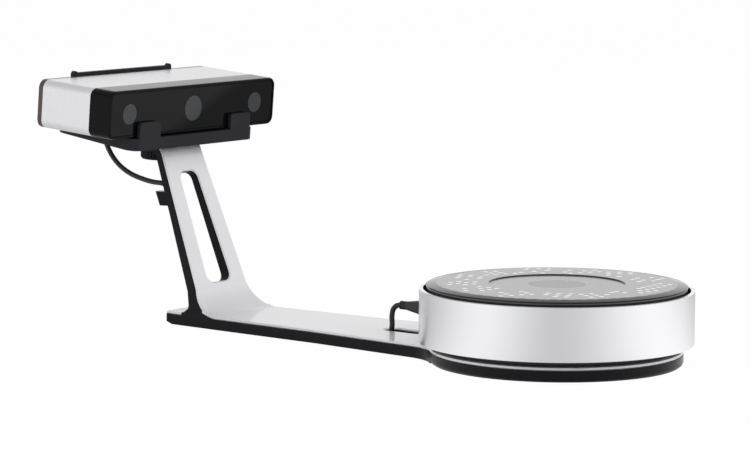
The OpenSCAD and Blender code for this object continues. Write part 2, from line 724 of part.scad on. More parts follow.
// Flanged nut in the floor of the head, on top of the chassis rail
module tripod_nut() color([0.7, 0.65, 0.5]) at_head() translate([screw_x, 0, 0]) difference() {
    union() {
        translate([0, 0, -head_h / 2]) cylinder(r = nut_r, h = nut_h);
        translate([0, 0, rail_top]) cylinder(r = nut_flange_r, h = nut_flange_h);
    }
    translate([0, 0, -head_h / 2 - over]) cylinder(r = shank_r + run_gap, h = nut_h + 2 * over);
}

module head_boss_places() for (y = [-1, 1], z = [-1, 1])
    translate([0, y * (head_w / 2 - boss_in), z * (head_h / 2 - boss_in)]) children();

module head_sleeve() color([0.85, 0.85, 0.86]) at_head() difference() {
    union() {
        difference() {
            head_slab(-bezel_d, sleeve_d);
            head_slab(over - bezel_d, sleeve_d + 2 * over, head_wall);
        }
        head_boss_places() head_rod(-bezel_d, sleeve_d, boss_wall_r);
    }
    head_boss_places() head_rod(over - bezel_d, sleeve_d + 2 * over, screw_r + run_gap);
    translate([screw_x, 0, -head_h / 2 - over]) cylinder(r = nut_r + run_gap, h = head_wall + 2 * over);
}

module front_bezel() color([0.03, 0.03, 0.03]) at_head() difference() {
    hull() {
        head_slab(-edge_round, bezel_d - edge_round, $fn = 48);
        head_slab(-edge_round * 0.3, edge_round / 2, edge_round * 0.3, $fn = 48);
        head_slab(0, edge_round / 2, edge_round, $fn = 48);
    }
    head_slab(over, glass_back + over, face_rim, $fn = 48);
    head_slab(over, glass_back + face_ledge + over, face_rim + face_ledge, $fn = 48);
    head_slab(-glass_back - face_ledge, bezel_d, head_wall, $fn = 48);
}

// The first child stands at each camera and the second at the projector
module window_places() {
    for (s = [-1, 1]) translate([0, s * camera_y, 0]) children(0);
    children(1);
}

module front_glass() color([0.12, 0.12, 0.13]) at_head() difference() {
    head_slab(-glass_recess, face_glass_t, face_rim + run_gap);
    window_places() {
        head_rod(0, 2 * face_glass_t, camera_r + run_gap / 2);
        head_rod(0, 2 * face_glass_t, projector_r + run_gap / 2);
    }
}

module window_lenses() color([0.3, 0.3, 0.32]) at_head() window_places() {
    head_rod(-glass_recess, face_glass_t, camera_r);
    head_rod(-glass_recess, face_glass_t, projector_r);
}

module rear_cover() color([0.16, 0.13, 0.12]) at_head() difference() {
    hull() {
        head_slab(-bezel_d - sleeve_d, cap_d - edge_round, $fn = 48);
        head_slab(edge_round / 2 - head_d, edge_round / 2, edge_round, $fn = 48);
    }
    head_slab(over - bezel_d - sleeve_d, cap_d - cap_wall + over, head_wall, $fn = 48);
    translate([0, button_y, 0]) head_rod(cap_d - head_d, 2 * cap_d, button_r + run_gap);
    translate([0, jack_y, head_plug_z]) head_rod(cap_d - head_d, 2 * cap_d, jack_r + jack_wall + run_gap);
    translate([cap_d - head_d, head_plug_y, head_plug_z]) plug_nose(0, 2 * cap_d, socket_wall + 2 * run_gap);
    head_boss_places() translate([run_gap - head_d, 0, 0]) rotate([0, 90, 0]) screw_hole(cap_d);
}

// Push button with the flange that keeps it in, pressed towards +X
module power_button() color([0.1, 0.1, 0.1]) at_head() translate([cap_wall - head_d, button_y, 0]) {
    head_rod(gap + button_flange / 2, gap + button_flange / 2 + cap_wall + button_out, button_r);
    head_rod(gap + button_flange, button_flange, button_r + button_flange);
}

module power_socket() color([0.12, 0.12, 0.12]) at_head() translate([board_x, jack_y, head_plug_z]) {
    difference() {
        head_rod(0, head_d + board_x, jack_r + jack_wall);
        head_rod(-jack_floor, head_d + board_x, jack_r);
    }
    head_rod(-jack_floor / 2, head_d + board_x - jack_floor, jack_pin_r);
}

module data_socket() color([0.7, 0.7, 0.72]) at_head() translate([0, head_plug_y, head_plug_z]) difference() {
    plug_nose(board_x, head_d + board_x, socket_wall + run_gap);
    plug_nose(nose_l + gap - head_d, nose_l + gap + over, run_gap);
}

module head_screws() color([0.6, 0.6, 0.6]) at_head() head_boss_places()
    translate([run_gap - head_d, 0, 0]) rotate([0, 90, 0]) screw(cap_d + sleeve_d / 4);

module chassis_rail() color([0.7, 0.7, 0.72]) at_head() difference() {
    union() {
        box([rail_rear, rail_front], rail_half * [-1, 1], [rail_z, rail_top]);
        for (s = [-1, 1])
            box([rail_rear, rail_front], span(s * (rail_half - rail_t / 2), rail_t), up(rail_z, rail_side_h));
    }
    translate([screw_x, 0, rail_z - over]) cylinder(r = nut_r + run_gap, h = rail_t + 2 * over);
}

// Camera: block on the rail, with a barrel and a lens that look through the window
module camera_module(side) color([0.2, 0.2, 0.2]) at_head() translate([0, side * camera_y, 0]) {
    box([module_x - module_d, module_x], span(0, module_w), [rail_top, -rail_top]);
    difference() {
        head_rod(-glass_back - gap / 2, barrel_l, camera_r - gap);
        head_rod(0, -module_x - over, camera_r - barrel_wall);
    }
    head_rod(-glass_back - gap / 2, lens_t, camera_r - barrel_wall + run_gap);
}
module left_camera() camera_module(-1);
module right_camera() camera_module(1);

module light_engine() color([0.25, 0.25, 0.25]) at_head() difference() {
    box([module_x - module_d, module_x], span(0, engine_w), [rail_top, -rail_top]);
    translate([screw_x, 0, rail_z]) cylinder(r = nut_flange_r + gap, h = nut_h + gap);
}

module projector_barrel() color([0.15, 0.15, 0.15]) at_head() difference() {
    head_rod(-glass_back - gap / 2, barrel_l, projector_r - gap);
    head_rod(0, head_d, projector_r - barrel_wall);
}

module projector_lens() color([0.5, 0.6, 0.65]) at_head() intersection() {
    head_rod(-glass_back - gap / 2, 2 * lens_t, projector_r - barrel_wall - run_gap);
    translate([-glass_back - gap / 2 - 2 * projector_r, 0, 0]) sphere(r = 2 * projector_r);
}

// Board across the back of the head, on two standoffs from the rear cover
module head_board() color([0.1, 0.35, 0.2]) at_head() {
    box([board_x, board_x + board_t], (back_window_w + screw_head_r) * [-1, 1], span(0, board_h));
    for (s = [-1, 1]) translate([0, s * back_window_w, 0])
        head_rod(board_x + board_t / 2, board_x + board_t / 2 + head_d - cap_wall, screw_head_r);
}

module turntable_screw_places(z) for (i = [0 : 3]) rotate([0, 0, 45 + 90 * i])
    translate([ring_in - lip_w / 2, 0, z]) children();

// Silver ring with a lip inside its foot and a way in for the plug
module turntable_ring() color([0.82, 0.82, 0.83]) difference() {
    edge = ring_wall / 4;
    rotate_extrude() polygon(concat([[ring_in - lip_w, ring_z]],
        arc([ring_r - edge, ring_z + edge], edge, -90, 0, 4),
        arc([ring_r - edge, ring_top - edge], edge, 0, 90, 4),
        [[ring_in, ring_top], [ring_in, floor_z], [ring_in - lip_w, floor_z]]));
    translate([2 * ring_wall - ring_r, 0, plug_z]) plug_nose(0, 4 * ring_wall, gap);
    turntable_screw_places(ring_z) screw_hole(lip_h);
}

module turntable_screws() color([0.6, 0.6, 0.6]) turntable_screw_places(ring_z) screw(lip_h + floor_t - gap);

// Floor of the turntable: plate on the lip, foot, locating stud, spindle boss and standoffs
module turntable_floor() color([0.08, 0.08, 0.08]) difference() {
    union() {
        translate([0, 0, floor_z]) cylinder(r = ring_in - gap, h = floor_t);
        translate([0, 0, top_z + pad_h]) tube(foot_r, foot_wall, floor_z - top_z - pad_h + over);
        translate([0, 0, top_z - stud_h + stud_clear])
            cylinder(r = stud_r, h = floor_z - top_z + stud_h - stud_clear + over);
        translate([0, 0, floor_top - over]) cylinder(r = inner_race_r + race_t, h = spindle_boss_h + over);
        for (x = [0.1, 0.9], y = [-0.4, 0.4])
            translate([table_board_x + table_board_l * x, table_board_w * y, floor_top - over])
            cylinder(r = screw_head_r, h = table_board_z - floor_top + over);
    }
    translate([0, 0, floor_top + spindle_boss_h - spindle_sink])
        cylinder(r = spindle_r + seat_gap, h = spindle_sink + over);
    turntable_screw_places(ring_z) screw_hole(lip_h + floor_t + over);
}

module turntable_pads() color([0.15, 0.15, 0.15]) for (i = [0 : 3]) rotate([0, 0, 45 + 90 * i])
    translate([foot_r - foot_wall / 2, 0, top_z]) cylinder(r = foot_wall * 0.45, h = pad_h);

module spindle() color([0.75, 0.75, 0.76]) {
    foot = floor_top + spindle_boss_h - spindle_sink;
    translate([0, 0, foot]) cylinder(r = spindle_r, h = carrier_z - foot);
    translate([0, 0, hub_z - shoulder_h]) cylinder(r = inner_race_r - shoulder_step, h = shoulder_h);
}

module ball_track() translate([0, 0, hub_z + race_h / 2])
    rotate_extrude() translate([ball_track_r, 0]) circle(r = ball_r + run_gap / 2 + seat_gap, $fn = 48);

module bearing_inner_race() color([0.8, 0.8, 0.82]) difference() {
    translate([0, 0, hub_z]) tube(inner_race_r, race_t - seat_gap, race_h);
    ball_track();
}

module bearing_outer_race() color([0.8, 0.8, 0.82]) difference() {
    translate([0, 0, hub_z]) tube(outer_race_r + race_t, race_t, race_h);
    ball_track();
}

module bearing_balls() color([0.9, 0.9, 0.92]) for (i = [0 : ball_count - 1])
    rotate([0, 0, 360 * i / ball_count]) translate([ball_track_r, 0, hub_z + race_h / 2])
    sphere(r = ball_r, $fn = 24);

// Spur gear with straight-sided teeth, one of them centred on the angle given.
// The shares are of a tooth's pitch.
tooth_root_share = 0.34;
tooth_pitch_share = 0.21;
tooth_tip_share = 0.09;
module gear_plan(teeth, phase) {
    r = gear_module * teeth / 2;
    half = [[tooth_root_share, r - gear_module * 1.25], [tooth_pitch_share, r],
        [tooth_tip_share, r + gear_module]];
    tooth = concat([for (q = half) [-q[0], q[1]]], reversed(half));
    polygon([for (i = [0 : teeth - 1], q = tooth)
        let (a = phase + 360 / teeth * (i + q[0])) q[1] * [cos(a), sin(a)]]);
}

module platter_gear() color([0.85, 0.82, 0.7]) translate([0, 0, gear_z]) difference() {
    union() {
        linear_extrude(gear_w) gear_plan(platter_teeth, 90);
        cylinder(r = gear_r - gear_module * 3, h = gear_w + gear_web);
    }
    translate([0, 0, -over]) cylinder(r = hub_in + hub_wall + run_gap, h = gear_w + gear_web + 2 * over);
}

module motor_pinion() color([0.85, 0.82, 0.7]) translate(motor_place) {
    translate([0, 0, gear_z]) linear_extrude(gear_w) gear_plan(pinion_teeth, 270 + 180 / pinion_teeth);
    translate([0, 0, motor_top - motor_r / 2])
        cylinder(r = motor_shaft_r, h = gear_z - motor_top + motor_r / 2 + over);
}

module motor() color([0.6, 0.6, 0.62]) translate(motor_place) difference() {
    translate([0, 0, floor_top]) cylinder(r = motor_r, h = motor_top - floor_top);
    translate([0, 0, motor_top - motor_r / 2 - gap]) cylinder(r = motor_shaft_r + run_gap, h = motor_r);
}

// Bridge that holds the motor down, on two legs
module motor_bracket() color([0.7, 0.7, 0.72]) translate(motor_place) difference() {
    union() {
        box((motor_r + gap + bracket_leg) * [-1, 1], span(0, bracket_w), up(motor_top, bracket_t));
        for (s = [-1, 1]) box(span(s * (motor_r + gap + bracket_leg / 2), bracket_leg), span(0, bracket_w),
            [floor_top, motor_top + bracket_t]);
    }
    translate([0, 0, motor_top - over]) cylinder(r = motor_shaft_r + gap, h = bracket_t + 2 * over);
}

module turntable_board() color([0.1, 0.35, 0.2])
    box(up(table_board_x, table_board_l), span(0, table_board_w), up(table_board_z, board_t));

module turntable_socket() color([0.7, 0.7, 0.72]) translate([0, 0, plug_z]) difference() {
    plug_nose(table_board_x + table_socket_l, table_socket_l, socket_wall + run_gap);
    plug_nose(table_nose_l + gap - ring_r, table_nose_l, run_gap);
}

// Carrier: disc with a ribbed underside and the hub that holds the outer race
module platter_carrier() color([0.08, 0.08, 0.08]) difference() {
    union() {
        translate([0, 0, carrier_z]) cylinder(r = platter_r - gap, h = carrier_t);
        translate([0, 0, hub_z]) tube(hub_in + hub_wall, hub_wall, race_h + over);
    }
    translate([0, 0, carrier_z - over]) difference() {
        tube(platter_r - carrier_rim, platter_r - carrier_rim - gear_r, carrier_t / 2 + over);
        for (i = [0 : carrier_ribs - 1]) rotate([0, 0, 360 * i / carrier_ribs])
            box([gear_r - over, platter_r], span(0, rib_t), [-over, carrier_t]);
    }
    translate([0, 0, carrier_z - over]) cylinder(r = outer_race_r, h = over + carrier_clear);
}

// Glass: bevelled annulus that stands above the ring
module marker_glass() color([0.1, 0.1, 0.11]) rotate_extrude() polygon([
    [middle_r, glass_z], [platter_r - edge_r, glass_z], [platter_r, glass_z + edge_r],
    [platter_r, platter_top - bevel_drop - edge_r], [platter_r - edge_r, platter_top - bevel_drop],
    [platter_r - bevel_w / 2, platter_top - bevel_drop * 0.4],
    [platter_r - bevel_w, platter_top], [middle_r, platter_top]]);

module middle_plate() color([0.12, 0.12, 0.13]) translate([0, 0, glass_z]) difference() {
    cylinder(r = middle_r - run_gap, h = glass_t - middle_drop);
    translate([0, 0, glass_t - middle_drop - disc_t]) cylinder(r = disc_r + run_gap, h = disc_t + over);
}

module middle_disc() color([0.2, 0.2, 0.21]) translate([0, 0, platter_top - middle_drop - disc_t])
    cylinder(r = disc_r, h = disc_t);

base_moulding();
top_skin();
toe_cover();
channel_cover();
toe_pad();
disc_pad();
base_screws();
riser_spine();
spine_screws();
cable_clip();
lead();
lead_head_plug();
lead_table_plug();
cradle();
cradle_strips();
cradle_screws();
thumb_screw();
tripod_nut();
head_sleeve();
front_bezel();
front_glass();
window_lenses();
rear_cover();
power_button();
power_socket();
data_socket();
head_screws();
chassis_rail();
left_camera();
right_camera();
light_engine();
projector_barrel();
projector_lens();
head_board();
turntable_ring();
turntable_floor();
turntable_pads();
turntable_screws();
spindle();
bearing_inner_race();
bearing_outer_race();
bearing_balls();
motor();
motor_bracket();
motor_pinion();
turntable_board();
turntable_socket();
platter_carrier();
platter_gear();
marker_glass();
middle_plate();
middle_disc();
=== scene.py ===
import json
import math
import random

import bmesh
import bpy
from bpy.props import FloatProperty, FloatVectorProperty, IntProperty, PointerProperty
from mathutils import Matrix, Vector

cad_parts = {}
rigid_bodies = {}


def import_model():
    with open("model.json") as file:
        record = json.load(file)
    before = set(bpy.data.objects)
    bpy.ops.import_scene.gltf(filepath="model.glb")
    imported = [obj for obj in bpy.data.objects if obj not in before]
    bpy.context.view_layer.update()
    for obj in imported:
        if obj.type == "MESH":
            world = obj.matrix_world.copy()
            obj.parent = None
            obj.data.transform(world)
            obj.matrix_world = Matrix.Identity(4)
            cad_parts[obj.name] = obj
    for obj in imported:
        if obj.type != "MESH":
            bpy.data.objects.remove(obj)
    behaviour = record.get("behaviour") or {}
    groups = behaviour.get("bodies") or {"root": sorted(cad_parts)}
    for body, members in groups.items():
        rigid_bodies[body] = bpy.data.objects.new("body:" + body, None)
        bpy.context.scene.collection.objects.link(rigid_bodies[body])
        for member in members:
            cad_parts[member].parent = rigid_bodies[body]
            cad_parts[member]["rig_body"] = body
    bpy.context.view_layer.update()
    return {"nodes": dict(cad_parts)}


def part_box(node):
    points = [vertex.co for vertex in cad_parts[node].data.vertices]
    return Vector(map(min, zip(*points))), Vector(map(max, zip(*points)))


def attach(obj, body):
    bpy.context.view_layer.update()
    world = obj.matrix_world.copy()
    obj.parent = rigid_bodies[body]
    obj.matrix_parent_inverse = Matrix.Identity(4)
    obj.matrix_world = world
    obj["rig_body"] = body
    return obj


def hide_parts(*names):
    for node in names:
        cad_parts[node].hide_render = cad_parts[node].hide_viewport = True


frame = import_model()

bl_info = {
    "name": "Desktop scanner with turntable",
    "version": (1, 0, 0),
    "blender": (4, 5, 0),
    "location": "View3D > Sidebar > Scanner",
    "description": "Shells, glass, lead and finishes of a scan head on a stand with a turntable",
    "category": "Object",
}

MM = 0.001

# Tint that smears add to glass
SMEAR_TINT = (0.001, 0.0015, 0.0014)

# The riser's own frame: the foot of its front face, the way up that face and the way into it
RISER_FOOT = Vector((-326, 0, 11)) * MM
RISER_ANGLE = math.radians(68.3)
UP_RISER = Vector((-math.cos(RISER_ANGLE), 0, math.sin(RISER_ANGLE)))
INTO_RISER = Vector((-math.sin(RISER_ANGLE), 0, -math.cos(RISER_ANGLE)))

# The head's own frame: the middle of its face, with X out of the face
HEAD = Matrix.Translation(Vector((-363.734, 0, 174.266)) * MM) @ Matrix.Rotation(math.radians(4.55), 4, "Y")

# Half widths in millimetres, first in the solids and then in the picture. Bar and toe go by the distance
# behind the turntable's axis, riser and slot by the distance up the riser.
BAR_WIDTHS = ((126, 50.5), (307, 34.4)), ((126, 50.5), (200, 44.0), (307, 39.8), (363.5, 37.0))
RISER_WIDTHS = ((21, 34.4), (135.3, 26.6)), ((-7, 39.8), (21, 31.6), (135.3, 24.8))
SLOT_WIDTHS = ((25, 13.5), (120, 10.2)), ((25, 14.8), (120, 10.5))

# Where the bar gets a cut across it, so that its side can bend there, and the width that it keeps inside
WAIST_X = -200 * MM
STEADY_W = 20 * MM

# The bar lies below this height in front of this place; behind it the spine starts
BAR_TOP = 12.5 * MM
BAR_BACK_X = -0.36 + BAR_TOP

# How far the base comes down, below this height
BASE_DROP = 0.4 * MM
BASE_LOW = 2 * MM

# The spine is thicker at its foot in the picture, by this much along X; the toe's cover starts behind it
SPINE_DEPTH = 7.3 * MM
SPINE_EXTRA = 3.6 * MM
SPINE_TOP = 137 * MM
TOE_FRONT_X = -0.35

# The clip: its middle up the riser, and the shares that its height and its reach take
CLIP_RISE = 100 * MM
CLIP_HEIGHT_SHARE = 0.88
CLIP_REACH_SHARE = 1.12

# The cradle, in the head's frame: where its rear plate starts, where its tray's ends start across, and the
# shares that their widths take
PLATE_LOW = -15 * MM
PLATE_X = -70 * MM
PLATE_SHARE = 0.96
TRAY_END_W = 60 * MM
TRAY_SHARE = 1.065

# The cradle's keel, where the riser bolts on; beside it the tray's underside rises towards the rear
KEEL_W = 28.7 * MM
KEEL_CUT = 0.1 * MM
TRAY_LOW = -28.7 * MM
TRAY_RISE = 5.2 * MM
TRAY_FRONT_X = 3.5 * MM
TRAY_D = 86.1 * MM

# The thumb screw, in the head's frame: the middle of its knob's top, the stud that stays as it is, and the
# shares that the knob's radius and height take
KNOB_MIDDLE = Vector((-39.65, 0, -37.75)) * MM
KNOB_TOP = 0.05 * MM
STUD_R = 3.2 * MM
KNOB_R_SHARE = 0.8
KNOB_H_SHARE = 1.1

# The dark bevel round the glass: points from the glass's outer top corner, outwards and up, in millimetres,
# from the inner edge that lies in the glass; how far it stands off, and its steps round
RIM_PROFILE = [(-8.15, -0.5), (-8.1, -0.01), (-4.05, -0.52), (-0.4, -1.3), (0.0, -1.7), (0.0, -2.2)]
RIM_FLAT = -8
RIM_OFF = 0.04 * MM
RIM_STEPS = 144

# The dots: margins inside and outside, columns and rows of a group, gaps in it, its greatest turn in radians,
# and their height
DOTS_INNER = 5 * MM
DOTS_OUTER = 12 * MM
DOT_COLUMNS = 3
DOT_ROWS = 4
DOT_GAPS = 4
DOT_SKEW = 0.6
DOT_H = 0.04 * MM

# The dark card on the floor, which only shiny surfaces see: the way across its edge, how sharp that edge is,
# the share of light that the far floor loses and the share more that the card takes
CARD_ACROSS = (-0.874, 0.485)
CARD_SHARP = 60.0
FAR_LOSS = 0.22
CARD_LOSS = 0.46

# Shares of the floor's own level that shiny surfaces and the camera see
FLOOR_SHINE = 0.85
FLOOR_SEEN = 0.97

# Route of the lead, from the plug behind the head to the turntable's plug, in millimetres
LEAD_ROUTE = [
    (-455, -10, 172.4), (-455.5, -10, 166.2), (-455.7, -10, 158), (-454.6, -10, 149),
    (-450, -10.4, 138.8), (-443.8, -11.5, 131.2), (-435.5, -13, 124.8), (-422, -15, 118.6),
    (-404, -17.5, 114.6), (-391, -19.4, 113.2), (-380.4, -20, 112.8), (-376.9, -20, 112.1),
    (-374, -20, 110.1), (-372, -20, 107.1), (-361.2, -20, 80), (-345.3, -20, 40), (-337.3, -20, 20),
    (-333.3, -20, 9.9), (-331.5, -20, 7.1), (-328.8, -20, 5.3), (-325.5, -20, 4.6),
    (-305, -20, 4.6), (-270, -16, 4.6), (-235, -8, 4.6), (-205, -1, 4.6), (-185, 0, 4.6),
    (-166.4, 0, 4.6), (-162.2, 0, 5.7), (-159.1, 0, 8.8), (-158, 0, 13), (-158, 0, 22.6),
    (-156.9, 0, 26.8), (-153.8, 0, 29.9), (-149.4, 0, 31),
]


class StageSettings(bpy.types.PropertyGroup):
    """Camera, floor and lamps."""
    camera_place: FloatVectorProperty(
        name="Camera", description="Place of the camera", subtype="TRANSLATION", unit="LENGTH",
        default=(1.5578, -2.2328, 0.4266))
    camera_yaw: FloatProperty(
        name="Yaw", description="Turn of the view about the vertical", subtype="ANGLE",
        default=math.radians(37.823))
    camera_pitch: FloatProperty(
        name="Pitch", description="How far the camera looks down", subtype="ANGLE",
        default=math.radians(6.743))
    camera_roll: FloatProperty(
        name="Roll", description="Turn of the picture about the view", subtype="ANGLE",
        default=math.radians(0.304))
    camera_lens: FloatProperty(
        name="Lens", description="Focal length on a 36 mm sensor, in millimetres", default=172.99)
    floor_size: FloatProperty(
        name="Floor", description="Side of the floor", unit="LENGTH", default=24.0)
    floor_colour: FloatVectorProperty(
        name="Floor colour", description="Colour of the pale floor", subtype="COLOR",
        default=(0.86, 0.86, 0.87))
    sky_level: FloatProperty(
        name="Sky", description="Level of the soft light from all round", default=0.62)
    zenith_shine: FloatProperty(
        name="Zenith", description="Level overhead that shiny surfaces see", default=0.45)
    wall_shine: FloatProperty(
        name="Walls", description="Level of the walls that shiny surfaces see", default=0.54)
    near_shine: FloatProperty(
        name="Near screen", description="Level added by the screen on the near side", default=0.46)
    right_shine: FloatProperty(
        name="Right screen", description="Level added by the screen on the right", default=0.56)
    far_shine: FloatProperty(
        name="Far screen", description="Level added by the backdrop above the horizon", default=0.60)
    dark_card: FloatVectorProperty(
        name="Dark card", description="A point of the card's edge on the floor", size=2, unit="LENGTH",
        default=(0.139, 0.572))
    lamp_power: FloatProperty(
        name="Lamps", description="Power of each softbox, in watts", default=16.0)


class ShellSettings(bpy.types.PropertyGroup):
    """Finish of the stand and of the housings."""
    silver: FloatVectorProperty(
        name="Silver", description="Satin silver paint", subtype="COLOR", default=(0.79, 0.79, 0.81))
    polished: FloatVectorProperty(
        name="Ring", description="Polished ring of the turntable", subtype="COLOR",
        default=(0.91, 0.91, 0.93))
    black: FloatVectorProperty(
        name="Black", description="Moulded black plastic", subtype="COLOR", default=(0.006, 0.006, 0.007))
    cradle: FloatVectorProperty(
        name="Cradle", description="Matte black of the cradle", subtype="COLOR",
        default=(0.014, 0.013, 0.016))
    cover: FloatVectorProperty(
        name="Rear cover", description="Dark brown gloss of the rear cover", subtype="COLOR",
        default=(0.052, 0.040, 0.037))
    sheet_edge: FloatProperty(
        name="Sheet edge", description="Width of the chamfer on the silver sheet", unit="LENGTH",
        default=0.001)


class GlassSettings(bpy.types.PropertyGroup):
    """Glass of the face and of the platter."""
    face: FloatVectorProperty(
        name="Face glass", description="Tint of the dark glass", subtype="COLOR",
        default=(0.0025, 0.0025, 0.003))
    window: FloatVectorProperty(
        name="Window", description="Tint of the round windows", subtype="COLOR",
        default=(0.045, 0.045, 0.048))
    platter: FloatVectorProperty(
        name="Platter glass", description="Black backing of the platter's glass", subtype="COLOR",
        default=(0.020, 0.021, 0.022))
    middle: FloatVectorProperty(
        name="Middle", description="Sunk middle of the platter", subtype="COLOR",
        default=(0.075, 0.075, 0.078))


class MarkerSettings(bpy.types.PropertyGroup):
    """White dots under the glass, which the cameras find their bearings by."""
    groups: IntProperty(name="Groups", description="Groups of dots round the platter", default=13)
    dot_r: FloatProperty(
        name="Dot", description="Radius of a dot", unit="LENGTH", default=0.00215)
    pitch: FloatProperty(
        name="Pitch", description="Distance between dots of a group", unit="LENGTH", default=0.0085)
    seed: IntProperty(name="Seed", description="Seed of the pattern", default=41)


class LeadSettings(bpy.types.PropertyGroup):
    """The lead between head and turntable."""
    diameter: FloatProperty(
        name="Diameter", description="Diameter of the lead", unit="LENGTH", default=0.0042)
    jacket: FloatVectorProperty(
        name="Jacket", description="Black of the lead and its plugs", subtype="COLOR",
        default=(0.012, 0.012, 0.013))


SETTINGS = {
    "scanner_stage": StageSettings, "scanner_shell": ShellSettings, "scanner_glass": GlassSettings,
    "scanner_markers": MarkerSettings, "scanner_lead": LeadSettings,
}


def settings(name):
    """One group of settings of the current scene."""
    return getattr(bpy.context.scene, "scanner_" + name)


def socket_named(sockets, key):
    """A node's socket by its identifier, or else by its name."""
    return next((s for s in sockets if s.identifier == key), None) or sockets[key]


class Term:
    """A socket's value, on which arithmetic adds Math nodes."""

    def __init__(self, tree, socket):
        self.tree = tree
        self.socket = socket

    def math(self, operation, *values):
        """A Math node of these values."""
        node = self.tree.nodes.new("ShaderNodeMath")
        node.operation = operation
        for slot, value in zip(node.inputs, values):
            feed(self.tree, slot, value)
        return Term(self.tree, node.outputs[0])

    def __add__(self, other):
        return self.math("ADD", self, other)

    def __sub__(self, other):
        return self.math("SUBTRACT", self, other)

    def __rsub__(self, other):
        return self.math("SUBTRACT", other, self)

    def __mul__(self, other):
        return self.math("MULTIPLY", self, other)

    def __pow__(self, other):
        return self.math("POWER", self, other)

    __radd__ = __add__
    __rmul__ = __mul__

    def limited(self):
        """This, kept from 0 to 1."""
        return self.math("MINIMUM", self.math("MAXIMUM", self, 0.0), 1.0)


def feed(tree, slot, value):
    """Sets a socket to a number or colour, or links it to a term."""
    if isinstance(value, Term):
        tree.links.new(value.socket, slot)
    elif hasattr(value, "__len__") and len(value) == 3 and len(slot.default_value) == 4:
        slot.default_value = (*value, 1.0)
    else:
        slot.default_value = value


class Nodes:
    """A node tree, with one method that adds any node but a Math node."""

    def __init__(self, tree):
        self.tree = tree
        tree.nodes.clear()

    def add(self, kind, choices=None, values=None, output=0):
        """Adds a node, sets its choices, feeds its sockets and gives one of its outputs."""
        node = self.tree.nodes.new("ShaderNode" + kind)
        for name, value in (choices or {}).items():
            setattr(node, name, value)
        for name, value in (values or {}).items():
            feed(self.tree, socket_named(node.inputs, name), value)
        return Term(self.tree, socket_named(node.outputs, output) if isinstance(output, str)
                    else node.outputs[output])

    def place(self):
        """The place on the piece, in metres."""
        return self.add("TexCoord", output="Object")

    def noise(self, scale, detail=2.0, rough=0.5, stretch=(1, 1, 1)):
        """Noise of a scale given in cells a metre, drawn out along an axis by a small share."""
        where = self.add("Mapping", values={"Vector": self.place(), "Scale": stretch})
        return self.add("TexNoise", values={
            "Vector": where, "Scale": scale, "Detail": detail, "Roughness": rough})

    def blend(self, factor, first, second):
        """A colour between two."""
        return self.add("Mix", {"data_type": "RGBA"}, {
            "Factor_Float": factor, "A_Color": first, "B_Color": second}, "Result_Color")

    def bump(self, height, strength, depth):
        """A normal from a height."""
        return self.add("Bump", values={"Height": height, "Strength": strength, "Distance": depth})

    def end(self, kind, shader):
        """Ends the tree in an output node."""
        node = self.tree.nodes.new(kind)
        feed(self.tree, node.inputs["Surface"], shader)


class Finish(Nodes):
    """A material whose fixed values lie on the shader's own sockets."""

    def __init__(self, name, **fixed):
        self.material = bpy.data.materials.new(name)
        self.material.use_nodes = True
        super().__init__(self.material.node_tree)
        self.fixed = {key.replace("_", " "): value for key, value in fixed.items()}

    def done(self, colour, roughness, normal):
        """Feeds the shader and gives the material."""
        values = {**self.fixed, "Base Color": colour, "Roughness": roughness, "Normal": normal}
        self.end("ShaderNodeOutputMaterial", self.add("BsdfPrincipled", values=values))
        return self.material


def shade(colour, share):
    """A colour made darker or lighter by a share."""
    return tuple(min(1.0, c * share) for c in colour)


def satin_metal(name, colour, roughness, grain=1.0, metallic=0.9, coat=0.0):
    """Fine blasted and clear-coated metal: a soft sparkle, slight clouding and a smooth sheen."""
    made = Finish(name, Metallic=metallic, IOR=1.5, Coat_Weight=coat, Coat_Roughness=0.06)
    fine = made.noise(2600, 2.0)
    clouds = made.noise(24, 3.0)
    tone = made.blend(clouds, shade(colour, 0.965), shade(colour, 1.03))
    rough = roughness + 0.05 * (fine - 0.5) + 0.07 * (clouds - 0.5)
    return made.done(tone, rough, made.bump(fine, 0.10 * grain, 0.00006))


def turned_metal(name, colour, roughness):
    """Turned and polished metal: fine rings in its height and a faint cloud."""
    made = Finish(name, Metallic=1.0)
    lines = made.noise(900, 3.0, 0.6, (0.02, 0.02, 1.0))
    clouds = made.noise(14, 2.0)
    tone = made.blend(clouds, shade(colour, 0.97), shade(colour, 1.02))
    rough = roughness + 0.06 * (lines - 0.5) + 0.04 * (clouds - 0.5)
    return made.done(tone, rough, made.bump(lines, 0.10, 0.00004))


def moulded(name, colour, roughness, grain=1.0, specular=0.5):
    """Moulded plastic: spark-eroded grain, faint flow clouds, and sharp edges made lighter, a painted
    highlight.
    """
    made = Finish(name, IOR=1.5, Specular_IOR_Level=specular)
    cells = made.add("TexVoronoi", values={"Vector": made.place(), "Scale": 1500})
    fine = made.noise(3300, 2.0)
    clouds = made.noise(32, 3.0)
    # Painted highlight: sharp convex edges, picked out by pointiness, are made lighter in colour and a little
    # glossier
    painted_highlight_edges = ((made.add("NewGeometry", output="Pointiness") - 0.51) * 6.0).limited()
    tone = made.blend(clouds * 0.6 + painted_highlight_edges * 0.4, shade(colour, 0.88), shade(colour, 1.22))
    rough = roughness + 0.10 * (clouds - 0.5) + 0.05 * (fine - 0.5) - 0.10 * painted_highlight_edges
    height = 0.7 * cells + 0.3 * fine
    return made.done(tone, rough, made.bump(height, 0.16 * grain, 0.00008))


